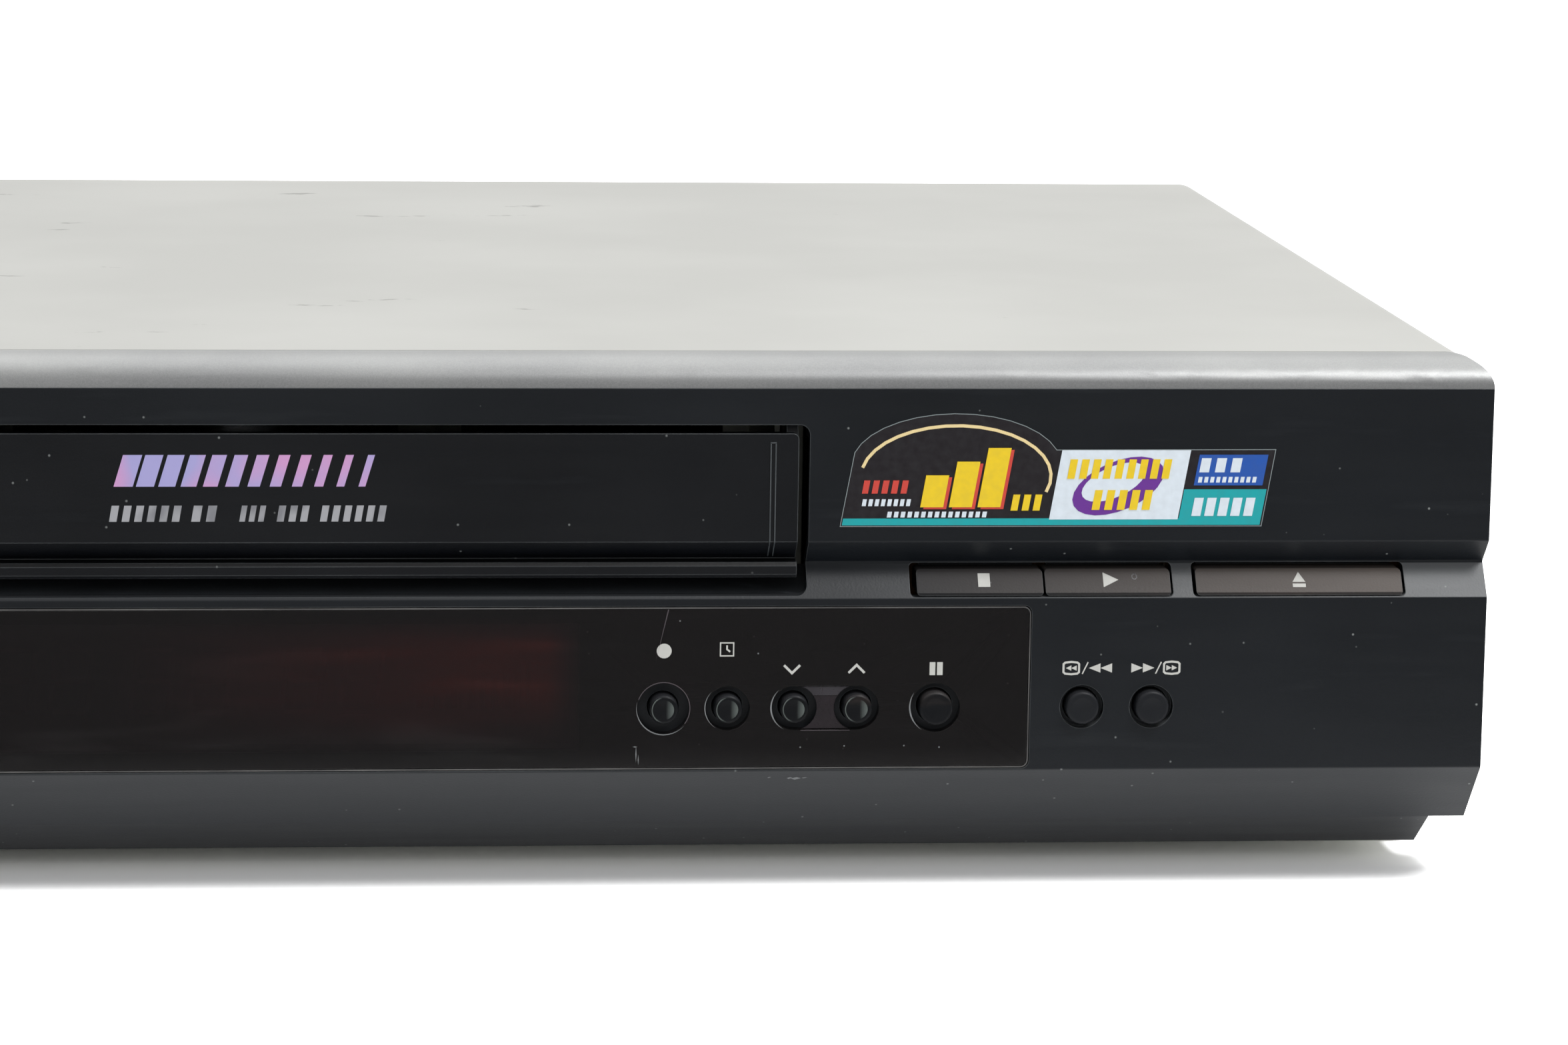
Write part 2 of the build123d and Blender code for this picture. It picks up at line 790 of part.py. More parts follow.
# ================= rear panel and its sockets =================
tuner_left = cover_half - 60.7
scart_width = 47.0
scart_space = 4.0
scart_x = [tuner_left - turn * (scart_width + scart_space) for turn in (2, 1)]
scart_height = 15.0
scart_reach = 22.0
scart_low = 22.0
audio_out_x = [scart_x[0] - 32.0, scart_x[0] - 17.0]
audio_out_height = 30.0
audio_body = 12.0
inlet_x = 30.7 - cover_half
inlet_low = 22.0
inlet_width = 30.0
inlet_height = 21.0
inlet_depth = 22.0
figure_eight_width = 14.6
figure_eight_height = 8.8
inlet_pin = 1.2
inlet_pin_pitch = 8.6
tuner_width = 48.0
tuner_length = 58.0
tuner_height = 26.0
aerial_edge = 12.0
aerial_x = [tuner_left + aerial_edge, tuner_left + tuner_width - aerial_edge]
aerial_height = 22.0
aerial_ring = 4.75
aerial_bore = 3.3
collar_wall = 1.0
collar_end = rear_outer + 1.0
socket_tip = cover_depth + socket_reach
rear_half = chassis_half

with BuildPart() as rear_panel:
    with BuildSketch(upright(rear_inner)) as rear_shape:
        with Locations((0, up((plate_top + top_low - moving_gap) / 2))):
            Rectangle(2 * (rear_half - plate_thickness - moving_gap), top_low - moving_gap - plate_top)
        fillet(rear_shape.vertices().group_by(Axis.Y)[-1], cover_bend)
        with Locations(*[(x + scart_width / 2, up(scart_low + scart_height / 2)) for x in scart_x]):
            Rectangle(scart_width + 2 * fit_gap, scart_height + 2 * fit_gap, mode=Mode.SUBTRACT)
        with Locations(*[(x, up(audio_out_height)) for x in audio_out_x]):
            Circle(socket_ring + collar_wall + moving_gap, mode=Mode.SUBTRACT)
        with Locations(*[(x, up(aerial_height)) for x in aerial_x]):
            Circle(aerial_ring + collar_wall + moving_gap, mode=Mode.SUBTRACT)
        with Locations((inlet_x, up(inlet_low + inlet_height / 2))):
            Rectangle(inlet_width + 2 * fit_gap, inlet_height + 2 * fit_gap, mode=Mode.SUBTRACT)
        with Locations(*[(x, up(body_height - rear_lip / 2 - 1)) for x in rear_screw_x]):
            Circle(screw_shank + running_gap, mode=Mode.SUBTRACT)
        with Locations((-80, up(62))):
            with GridLocations(9, 0, 12, 1):
                SlotOverall(26, 3, rotation=90, mode=Mode.SUBTRACT)
    extrude(amount=-plate_thickness)
save(rear_panel, "rear_panel")

with BuildPart() as mains_inlet:
    inlet_front = cover_depth - inlet_depth
    with BuildSketch(upright(inlet_front)):
        with Locations((inlet_x, up(inlet_low + inlet_height / 2))):
            RectangleRounded(inlet_width, inlet_height, 1.0)
    extrude(amount=-inlet_depth)
    with BuildSketch(upright(inlet_front)):
        with Locations((inlet_x, up((main_board_top + inlet_low) / 2 + 1))):
            Rectangle(inlet_width - 6, inlet_low + 2 - main_board_top)
    extrude(amount=-(rear_inner - moving_gap - inlet_front))
    with BuildSketch(upright(cover_depth + 1)):
        with Locations((inlet_x, up(inlet_low + inlet_height / 2))):
            SlotOverall(figure_eight_width, figure_eight_height)
    extrude(amount=13, mode=Mode.SUBTRACT)
    with BuildSketch(upright(cover_depth - 13)):
        with Locations((inlet_x, up(inlet_low + inlet_height / 2))):
            with GridLocations(inlet_pin_pitch, 0, 2, 1):
                Circle(inlet_pin)
    extrude(amount=-11)
save(mains_inlet, "mains_inlet")

with BuildPart() as scart_sockets:
    scart_front = cover_depth - scart_reach
    for x in scart_x:
        with BuildSketch(upright(scart_front)):
            with Locations((x + scart_width / 2, up(scart_low + scart_height / 2))):
                Rectangle(scart_width, scart_height)
        extrude(amount=scart_front - cover_depth - 1)
        with BuildSketch(upright(scart_front)):
            with Locations((x + scart_width / 2, up((main_board_top + scart_low) / 2 + 0.5))):
                Rectangle(scart_width - 6, scart_low + 1 - main_board_top)
        extrude(amount=-12)
        with BuildSketch(upright(cover_depth + 2)):
            with BuildLine():
                Polyline(
                    (x + 2, up(scart_low + 4)),
                    (x + 5, up(scart_low + 2)),
                    (x + scart_width - 2, up(scart_low + 2)),
                    (x + scart_width - 2, up(scart_low + scart_height - 2)),
                    (x + 2, up(scart_low + scart_height - 2)),
                    close=True,
                )
            make_face()
        extrude(amount=13, mode=Mode.SUBTRACT)
        with BuildSketch(upright(cover_depth - 11)):
            with Locations((x + scart_width / 2, up(scart_low + scart_height / 2))):
                Rectangle(scart_width - 10, 4)
        extrude(amount=-9)
save(scart_sockets, "scart_sockets")

with BuildPart() as audio_sockets:
    audio_middle = (audio_out_x[0] + audio_out_x[1]) / 2
    audio_top = audio_out_height + 7
    with BuildSketch(upright(rear_inner)):
        with Locations((audio_middle, up((main_board_top + audio_top) / 2))):
            Rectangle(audio_out_x[1] - audio_out_x[0] + audio_body, audio_top - main_board_top)
    extrude(amount=audio_body)
    with BuildSketch(upright(rear_inner)):
        with Locations(*[(x, up(audio_out_height)) for x in audio_out_x]):
            Circle(socket_ring + collar_wall)
    extrude(amount=rear_inner - collar_end)
    with BuildSketch(upright(collar_end)):
        with Locations(*[(x, up(audio_out_height)) for x in audio_out_x]):
            Circle(socket_ring)
    extrude(amount=collar_end - socket_tip)
    with BuildSketch(upright(socket_tip + 1)):
        with Locations(*[(x, up(audio_out_height)) for x in audio_out_x]):
            Circle(socket_bore)
    extrude(amount=10, mode=Mode.SUBTRACT)
save(audio_sockets, "audio_sockets")

with BuildPart() as tuner_module:
    with BuildSketch(level(main_board_top)):
        with Locations((tuner_left + tuner_width / 2, back(rear_inner - tuner_length / 2))):
            Rectangle(tuner_width, tuner_length)
    extrude(amount=tuner_height)
    with BuildSketch(upright(rear_inner)):
        with Locations(*[(x, up(aerial_height)) for x in aerial_x]):
            Circle(aerial_ring + collar_wall)
    extrude(amount=rear_inner - collar_end)
    with BuildSketch(upright(collar_end)):
        with Locations(*[(x, up(aerial_height)) for x in aerial_x]):
            Circle(aerial_ring)
    extrude(amount=collar_end - socket_tip)
    with BuildSketch(upright(socket_tip + 1)):
        with Locations(*[(x, up(aerial_height)) for x in aerial_x]):
            Circle(aerial_bore)
    extrude(amount=10, mode=Mode.SUBTRACT)
save(tuner_module, "tuner_module")

# ================= main board and what it carries =================
with BuildPart() as main_board:
    with BuildSketch(level(main_board_low)):
        with Locations((0, back((main_board_front + main_board_back) / 2))):
            Rectangle(2 * main_board_half, main_board_back - main_board_front)
        with Locations(*post_places):
            Circle(post_radius + moving_gap, mode=Mode.SUBTRACT)
    extrude(amount=board_thickness)
save(main_board, "main_board")

transformer_x = 47.7 - cover_half
transformer_depth = 165.0
frame_width = 34.0
frame_length = 30.0
winding_width = 26.0
core_width = 33.0
core_length = 13.0
frame_height = 6.0
winding_height = 18.0
core_height = 21.0
with BuildPart() as transformer:
    with BuildSketch(level(main_board_top)):
        with Locations((transformer_x, back(transformer_depth))):
            RectangleRounded(frame_width, frame_length, 1.5)
    extrude(amount=frame_height)
    with BuildSketch(level(main_board_top + frame_height)):
        with Locations((transformer_x, back(transformer_depth))):
            RectangleRounded(winding_width, frame_length - 2, 3)
    extrude(amount=winding_height)
    with BuildSketch(level(main_board_top + frame_height)):
        with Locations((transformer_x, back(transformer_depth))):
            Rectangle(core_width, core_length)
    extrude(amount=core_height)
save(transformer, "transformer")

# distance from the board's end, depth, radius and height: first the left end, then the right
left_capacitors = [
    (25, 122, 11, 32), (55, 122, 8, 26), (71, 205, 6, 20), (71, 225, 6, 20), (65, 95, 5, 14),
]
right_capacitors = [
    (75, 60, 5, 12), (60, 80, 4, 11), (35, 62, 4, 11), (17, 90, 5, 12),
    (77, 110, 4, 9), (30, 135, 6, 16), (85, 160, 4, 9), (67, 190, 5, 12),
]
with BuildPart() as capacitors:
    for side, cans in ((-1, left_capacitors), (1, right_capacitors)):
        for inset, depth, radius, height in cans:
            with BuildSketch(level(main_board_top)):
                with Locations((side * (main_board_half - inset), back(depth))):
                    Circle(radius)
            extrude(amount=height)
    level_faces = capacitors.faces().filter_by(Axis.Z)
    can_tops = level_faces.filter_by(lambda face: face.center().Z > up(main_board_top + 1))
    chamfer(can_tops.edges(), 0.6)
save(capacitors, "capacitors")

heat_sink_x = 16.7 - cover_half
heat_sink_length = 50.0
heat_sink_height = 40.0
heat_sink_depth = cover_depth - inlet_depth - 14.5 - heat_sink_length / 2
fin_width = 8.2
fin_pitch = 8.0
with BuildPart() as heat_sink:
    with BuildSketch(level(main_board_top)):
        with Locations((heat_sink_x, back(heat_sink_depth))):
            Rectangle(2, heat_sink_length)
        with Locations((heat_sink_x + 5, back(heat_sink_depth))):
            with GridLocations(0, fin_pitch, 1, 7):
                Rectangle(fin_width, 1.5)
    extrude(amount=heat_sink_height)
save(heat_sink, "heat_sink")

# distance from the board's right end, depth, width and length
chip_places = [
    (55, 115, 22, 22), (40, 165, 30, 12), (77, 85, 12, 24), (20, 115, 12, 18), (65, 215, 16, 16),
]
with BuildPart() as integrated_circuits:
    for inset, depth, chip_width, chip_length in chip_places:
        with BuildSketch(level(main_board_top)):
            with Locations((main_board_half - inset, back(depth))):
                Rectangle(chip_width, chip_length)
        extrude(amount=2.5)
save(integrated_circuits, "integrated_circuits")

ribbon_thickness = 0.6
ribbon_back = board_depth + board_thickness
with BuildPart() as ribbon_cable:
    with BuildSketch(Plane.YZ.offset(150)):
        with BuildLine():
            Polyline(
                *places(
                    [
                        (ribbon_back, 26),
                        (ribbon_back, 16),
                        (main_board_front + 6, main_board_top),
                        (main_board_front + 14, main_board_top),
                        (main_board_front + 14, main_board_top + ribbon_thickness),
                        (main_board_front + 6 + ribbon_thickness, main_board_top + ribbon_thickness),
                        (ribbon_back + ribbon_thickness, 16 + ribbon_thickness),
                        (ribbon_back + ribbon_thickness, 26),
                    ]
                ),
                close=True,
            )
        make_face()
    extrude(amount=24)
save(ribbon_cable, "ribbon_cable")

# ================= tape deck =================
reel_places = {"supply_reel": deck_x - reel_spacing / 2, "takeup_reel": deck_x + reel_spacing / 2}
sleeve_radius = 5.0
sleeve_top = deck_top + 10.0
pin_top = deck_top + 6.0
with BuildPart() as deck_plate:
    with BuildSketch(level(deck_low)):
        with Locations((deck_x, back((deck_front + deck_back) / 2))):
            RectangleRounded(2 * deck_half, deck_back - deck_front, 3)
        with Locations((capstan_x, back(capstan_depth))):
            Circle(sleeve_radius + fit_gap, mode=Mode.SUBTRACT)
        with Locations((deck_x, back(idler_depth))):
            Circle(spindle_pin + running_gap, mode=Mode.SUBTRACT)
        with Locations((deck_x, back(deck_front + 22))):
            Rectangle(90, 26, mode=Mode.SUBTRACT)
    extrude(amount=deck_thickness)
save(deck_plate, "deck_plate")

# X, depth, foot and tip of each fixed pin that a reel, the cam, an arm or the pulley turns on
pin_spans = [(x, reel_depth, deck_top, reel_top - 4) for x in reel_places.values()]
pin_spans += [
    (cam_x, cam_depth, deck_top, pin_top),
    (tension_pivot_x, tension_pivot_depth, deck_top, pin_top),
    (pinch_pivot_x, pinch_pivot_depth, deck_top, deck_top + 16),
    (deck_x, idler_depth, pulley_low, pin_top),
]
with BuildPart() as deck_pins:
    for x, depth, foot, tip in pin_spans:
        with BuildSketch(level(foot)):
            with Locations((x, back(depth))):
                Circle(spindle_pin)
        extrude(amount=tip - foot)
save(deck_pins, "deck_pins")

for name, x in reel_places.items():
    with BuildPart() as reel:
        with BuildSketch(level(deck_top + moving_gap)):
            with Locations((x, back(reel_depth))):
                Circle(reel_radius)
        extrude(amount=2.5)
        with BuildSketch(level(deck_top + moving_gap)):
            with Locations((x, back(reel_depth))):
                Circle(reel_hub)
        extrude(amount=5)
        with BuildSketch(level(deck_top + moving_gap)):
            with Locations((x, back(reel_depth))):
                Circle(reel_spindle)
                with PolarLocations(reel_spindle, 6):
                    Rectangle(2.4, 1.2)
        extrude(amount=reel_top - deck_top - moving_gap)
        chamfer(reel.faces().sort_by(Axis.Z)[-1].edges(), 0.5)
        with BuildSketch(level(deck_top)):
            with Locations((x, back(reel_depth))):
                Circle(spindle_pin + running_gap)
        extrude(amount=reel_top - 3 - deck_top, mode=Mode.SUBTRACT)
    save(reel, name)

idler_low = deck_top + moving_gap
idler_thickness = 3.0
arm_low = idler_low + idler_thickness + moving_gap
arm_thickness = 1.2
with BuildPart() as idler_wheel:
    with BuildSketch(level(idler_low)):
        with Locations((deck_x, back(reel_depth))):
            Circle(idler_radius)
            Circle(spindle_pin + running_gap, mode=Mode.SUBTRACT)
            with PolarLocations(idler_radius * 0.58, 6):
                Circle(3.4, mode=Mode.SUBTRACT)
    extrude(amount=idler_thickness)
save(idler_wheel, "idler_wheel")

with BuildPart() as idler_arm:
    with BuildSketch(level(arm_low)):
        with Locations((deck_x, back((reel_depth + idler_depth) / 2))):
            SlotCenterToCenter(idler_arm_length, 8, rotation=90)
        with Locations((deck_x, back(idler_depth))):
            Circle(spindle_pin + running_gap, mode=Mode.SUBTRACT)
    extrude(amount=arm_thickness)
    with BuildSketch(level(arm_low)):
        with Locations((deck_x, back(reel_depth))):
            Circle(spindle_pin)
    extrude(amount=idler_low - arm_low)
save(idler_arm, "idler_arm")

# ---- capstan, its motor and the belt to the centre pulley ----
with BuildPart() as capstan_motor:
    with BuildSketch(level(deck_low)):
        with Locations((capstan_x, back(capstan_depth))):
            RectangleRounded(motor_width, motor_length, 3)
    extrude(amount=-2)
    with BuildSketch(level(deck_low - 2)):
        with Locations((capstan_x, back(capstan_depth))):
            Circle(sleeve_radius)
    extrude(amount=sleeve_top - deck_low + 2)
    with BuildSketch(level(deck_low - 3)):
        with Locations((capstan_x, back(capstan_depth))):
            Circle(capstan_shaft + running_gap)
    extrude(amount=sleeve_top, mode=Mode.SUBTRACT)
save(capstan_motor, "capstan_motor")

with BuildPart() as capstan_flywheel:
    with BuildSketch(level(pulley_high)):
        with Locations((capstan_x, back(capstan_depth))):
            Circle(flywheel_radius)
    extrude(amount=deck_low - 2 - moving_gap - pulley_high)
    with BuildSketch(level(pulley_low)):
        with Locations((capstan_x, back(capstan_depth))):
            Circle(pulley_radius)
    extrude(amount=pulley_high - pulley_low)
    with BuildSketch(level(pulley_low)):
        with Locations((capstan_x, back(capstan_depth))):
            Circle(capstan_shaft)
    extrude(amount=capstan_top - pulley_low)
    chamfer(capstan_flywheel.faces().sort_by(Axis.Z)[-1].edges(), 0.4)
save(capstan_flywheel, "capstan_flywheel")

with BuildPart() as centre_pulley:
    with BuildSketch(level(pulley_low)):
        with Locations((deck_x, back(idler_depth))):
            Circle(pulley_radius)
            Circle(spindle_pin + running_gap, mode=Mode.SUBTRACT)
    extrude(amount=deck_low - moving_gap - pulley_low)
save(centre_pulley, "centre_pulley")

belt_low = pulley_low + 0.8
belt_height = 2.0
belt_angle = degrees(atan2(capstan_depth - idler_depth, capstan_x - deck_x))
belt_span = hypot(capstan_depth - idler_depth, capstan_x - deck_x)
belt_inside = pulley_radius + running_gap
belt_middle = ((capstan_x + deck_x) / 2, back((capstan_depth + idler_depth) / 2))
with BuildPart() as drive_belt:
    with BuildSketch(level(belt_low)):
        with Locations(belt_middle):
            SlotCenterToCenter(belt_span, 2 * (belt_inside + belt_thickness), rotation=belt_angle)
            SlotCenterToCenter(belt_span, 2 * belt_inside, rotation=belt_angle, mode=Mode.SUBTRACT)
    extrude(amount=belt_height)
save(drive_belt, "drive_belt")

# ---- pinch roller on its arm ----
pinch_direction = Vector(1, 0, 0).rotate(Axis.Z, pinch_rest_angle)
pinch_x = pinch_pivot_x + pinch_reach * pinch_direction.X
pinch_y = back(pinch_pivot_depth) + pinch_reach * pinch_direction.Y
pinch_middle = ((pinch_x + pinch_pivot_x) / 2, (pinch_y + back(pinch_pivot_depth)) / 2)
pinch_arm_low = deck_top + 8
pinch_roller_top = 46.0
with BuildPart() as pinch_arm:
    with BuildSketch(level(pinch_arm_low)):
        with Locations(pinch_middle):
            SlotCenterToCenter(pinch_reach, 8, rotation=pinch_rest_angle)
        with Locations((pinch_pivot_x, back(pinch_pivot_depth))):
            Circle(spindle_pin + running_gap, mode=Mode.SUBTRACT)
    extrude(amount=2)
    with BuildSketch(level(deck_top + moving_gap)):
        with Locations((pinch_pivot_x, back(pinch_pivot_depth))):
            Circle(4.5)
            Circle(spindle_pin + running_gap, mode=Mode.SUBTRACT)
    extrude(amount=16)
    with BuildSketch(level(pinch_arm_low)):
        with Locations((pinch_x, pinch_y)):
            Circle(spindle_pin)
    extrude(amount=pinch_roller_top - pinch_arm_low)
save(pinch_arm, "pinch_arm")

with BuildPart() as pinch_roller:
    with BuildSketch(level(pinch_arm_low + 2 + moving_gap)):
        with Locations((pinch_x, pinch_y)):
            Circle(pinch_radius)
    extrude(amount=pinch_roller_top - 1 - pinch_arm_low - 2 - moving_gap)
    chamfer(pinch_roller.edges(), 0.5)
    with BuildSketch(level(pinch_arm_low)):
        with Locations((pinch_x, pinch_y)):
            Circle(spindle_pin + running_gap)
    extrude(amount=body_height / 2, mode=Mode.SUBTRACT)
save(pinch_roller, "pinch_roller")

# ---- head drum, leaning towards the supply side ----
drum_base_top = 5.0
with BuildPart() as drum_base:
    with BuildSketch(level(deck_top)):
        with Locations((deck_x, back(drum_depth))):
            RectangleRounded(54, 54, 8)
    extrude(amount=4)
    drum_plane = Plane(
        origin=(deck_x, back(drum_depth), up(deck_top + drum_base_top)),
        x_dir=(1, 0, 0),
        z_dir=Vector(0, 0, 1).rotate(Axis.X, drum_tilt),
    )
    with BuildSketch(drum_plane.offset(-2)):
        Circle(22)
    extrude(amount=3)
    with BuildSketch(drum_plane):
        Circle(drum_radius)
    extrude(amount=lower_drum_height)
    with BuildSketch(drum_plane):
        Circle(drum_shaft)
    extrude(amount=lower_drum_height + upper_drum_height + 2)
save(drum_base, "drum_base")

with BuildPart() as upper_drum:
    with BuildSketch(drum_plane.offset(lower_drum_height + drum_gap)):
        Circle(drum_radius)
    extrude(amount=upper_drum_height)
    chamfer(upper_drum.faces().sort_by(Axis.Z)[-1].edges(), 0.8)
    with BuildSketch(drum_plane.offset(lower_drum_height + drum_gap + upper_drum_height)):
        Circle(18)
    extrude(amount=4)
    with BuildSketch(drum_plane.offset(lower_drum_height)):
        Circle(drum_shaft + running_gap)
    extrude(amount=upper_drum_height + 10, mode=Mode.SUBTRACT)
save(upper_drum, "upper_drum")

# ---- loading guides, tension arm, heads, cam and loading motor ----
guide_sled = 2.7
for name, side in (("supply_guide", -1), ("takeup_guide", 1)):
    guide_x = deck_x + side * guide_rest_x
    with BuildPart() as guide:
        with BuildSketch(level(deck_top + moving_gap)):
            with Locations((guide_x, back(guide_rest_depth))):
                RectangleRounded(12, 9, 2)
        extrude(amount=guide_sled)
        with BuildSketch(level(deck_top + moving_gap)):
            with Locations((guide_x, back(guide_rest_depth))):
                Circle(guide_post)
        extrude(amount=guide_top - deck_top)
        with BuildSketch(level(guide_top - 3)):
            with Locations((guide_x, back(guide_rest_depth))):
                Circle(guide_post + 1)
        extrude(amount=2)
        with BuildSketch(level(guide_top - 21)):
            with Locations((guide_x, back(guide_rest_depth))):
                Circle(guide_post + 1)
        extrude(amount=2)
    save(guide, name)

tension_post_x = tension_pivot_x + tension_reach
with BuildPart() as tension_arm:
    with BuildSketch(level(deck_top + moving_gap)):
        with Locations((tension_pivot_x + tension_reach / 2, back(tension_pivot_depth))):
            SlotCenterToCenter(tension_reach, 6)
        with Locations((tension_pivot_x, back(tension_pivot_depth))):
            Circle(4)
            Circle(spindle_pin + running_gap, mode=Mode.SUBTRACT)
    extrude(amount=2)
    with BuildSketch(level(deck_top + moving_gap)):
        with Locations((tension_post_x, back(tension_pivot_depth))):
            Circle(1.5)
    extrude(amount=26)
save(tension_arm, "tension_arm")

with BuildPart() as erase_head:
    with BuildSketch(level(deck_top)):
        with Locations((deck_x - 54, back(164))):
            Rectangle(10, 9)
    extrude(amount=24)
    with BuildSketch(level(deck_top)):
        with Locations((deck_x - 54, back(166))):
            Rectangle(12, 13)
    extrude(amount=2)
    fillet(erase_head.edges().filter_by(Axis.Z).group_by(Axis.Y)[1], 2)
save(erase_head, "erase_head")

with BuildPart() as audio_head:
    with BuildSketch(level(deck_top)):
        with Locations((deck_x + 58, back(172))):
            Rectangle(11, 10)
    extrude(amount=28)
    with BuildSketch(level(deck_top)):
        with Locations((deck_x + 58, back(176))):
            Rectangle(13, 18)
    extrude(amount=2)
save(audio_head, "audio_head")

with BuildPart() as mode_cam:
    with BuildSketch(level(deck_top + moving_gap)):
        with Locations((cam_x, back(cam_depth))):
            Circle(cam_radius)
            with PolarLocations(cam_radius, 48):
                Rectangle(1.6, 1.0)
            Circle(spindle_pin + running_gap, mode=Mode.SUBTRACT)
    extrude(amount=4)
save(mode_cam, "mode_cam")

with BuildPart() as loading_motor:
    with BuildSketch(level(deck_top)):
        with Locations((deck_x - 40, back(222))):
            Circle(10.5)
    extrude(amount=26)
    chamfer(loading_motor.faces().sort_by(Axis.Z)[-1].edges(), 1)
    with BuildSketch(level(deck_top)):
        with Locations((deck_x - 40, back(222))):
            Circle(2)
    extrude(amount=29)
save(loading_motor, "loading_motor")

# ================= cassette carriage =================
def carriage_side(half, thickness, side):
    """X of the inner corner of a side plate, so that it can be extruded towards +X."""
    return deck_x + half if side > 0 else deck_x - half - thickness


for name, side in (("left_side_frame", -1), ("right_side_frame", 1)):
    with BuildPart() as side_frame:
        with BuildSketch(Plane.YZ.offset(carriage_side(frame_half, frame_sheet, side))):
            with Locations((back((holder_front + frame_back) / 2), up((deck_top + frame_top) / 2))):
                Rectangle(frame_back - holder_front, frame_top - deck_top)
                with Locations((0, -14)):
                    RectangleRounded(frame_back - holder_front - 40, 20, 4, mode=Mode.SUBTRACT)
            with Locations((back((slider_front + slider_back + carriage_travel) / 2), up(slider_pin_height))):
                SlotCenterToCenter(
                    slider_pin_depths[1] - slider_pin_depths[0] + carriage_travel + 1,
                    2 * (slider_pin + running_gap),
                    mode=Mode.SUBTRACT,
                )
        extrude(amount=frame_sheet)
        # foot screwed to the deck
        with BuildSketch(level(deck_top)):
            inner_edge = deck_x + side * (frame_half + frame_sheet)
            with Locations((inner_edge - side * 1.5, back((holder_front + frame_back) / 2))):
                Rectangle(3, frame_back - holder_front)
        extrude(amount=frame_sheet)
    save(side_frame, name)

with BuildPart() as carriage_slider:
    for side in (-1, 1):
        with BuildSketch(Plane.YZ.offset(carriage_side(slider_half, slider_sheet, side))):
            with Locations((back((slider_front + slider_back) / 2), up((slider_low + slider_top) / 2))):
                Rectangle(slider_back - slider_front, slider_top - slider_low)
            with Locations(
                *[
                    (back(depth), up(holder_pin_height - holder_drop / 2))
                    for depth in holder_pin_depths
                ]
            ):
                SlotCenterToCenter(
                    holder_drop + 1, 2 * (holder_pin + running_gap), rotation=90, mode=Mode.SUBTRACT
                )
        extrude(amount=slider_sheet)
        with BuildSketch(Plane.YZ.offset(deck_x + side * (slider_half + slider_sheet / 2))):
            with Locations(*[(back(depth), up(slider_pin_height)) for depth in slider_pin_depths]):
                Circle(slider_pin)
        extrude(amount=side * (slider_sheet / 2 + 1.0 + frame_sheet))
    with BuildSketch(level(slider_bar_low)):
        with Locations((deck_x, back(slider_back - 8))):
            Rectangle(2 * slider_half + slider_sheet, 16)
    extrude(amount=1.2)
save(carriage_slider, "carriage_slider")

with BuildPart() as cassette_holder:
    with BuildSketch(upright(holder_front)):
        with Locations((deck_x, up((holder_low + holder_high) / 2))):
            Rectangle(2 * (holder_half + holder_sheet), holder_high - holder_low + 2 * holder_sheet)
            Rectangle(2 * holder_half, holder_high - holder_low, mode=Mode.SUBTRACT)
        with Locations((deck_x, up(holder_low - holder_sheet / 2))):
            Rectangle(2 * (holder_half - holder_flange), 2 * holder_sheet, mode=Mode.SUBTRACT)
    extrude(amount=holder_front - holder_stop)
    # weight-saving window in the top plate
    with BuildSketch(level(holder_high)):
        with Locations((deck_x, back((holder_front + holder_stop) / 2))):
            RectangleRounded(120, holder_stop - holder_front - 20, 4)
    extrude(amount=holder_sheet, mode=Mode.SUBTRACT)
    # stop tabs at the back of the flanges, and the guide pins
    for side in (-1, 1):
        with BuildSketch(upright(holder_stop)):
            with Locations(
                (deck_x + side * (holder_half + holder_sheet - 3), up((holder_low + holder_high) / 2))
            ):
                Rectangle(6, holder_high - holder_low + 2 * holder_sheet)
        extrude(amount=-holder_sheet)
        with BuildSketch(Plane.YZ.offset(deck_x + side * (holder_half + holder_sheet / 2))):
            with Locations(*[(back(depth), up(holder_pin_height)) for depth in holder_pin_depths]):
                Circle(holder_pin)
        extrude(amount=side * (holder_sheet / 2 + slider_sheet + 0.5))
save(cassette_holder, "cassette_holder")
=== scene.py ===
# %% [markdown]
# # A home video recorder, dressed for the camera
# This lesson takes the finished CAD pieces of a full-width cassette recorder and gives them
# their looks: moulded plastic, painted sheet steel, smoked acrylic and printed symbols.
# The CAD pieces arrive at their real places and real sizes, so nothing here is fitted by eye.
# Everything is in metres. +Z is up, and the front of the machine faces -Y.

# %% Load the finished pieces
import math

import bmesh
import bpy
from mathutils import Matrix, Vector


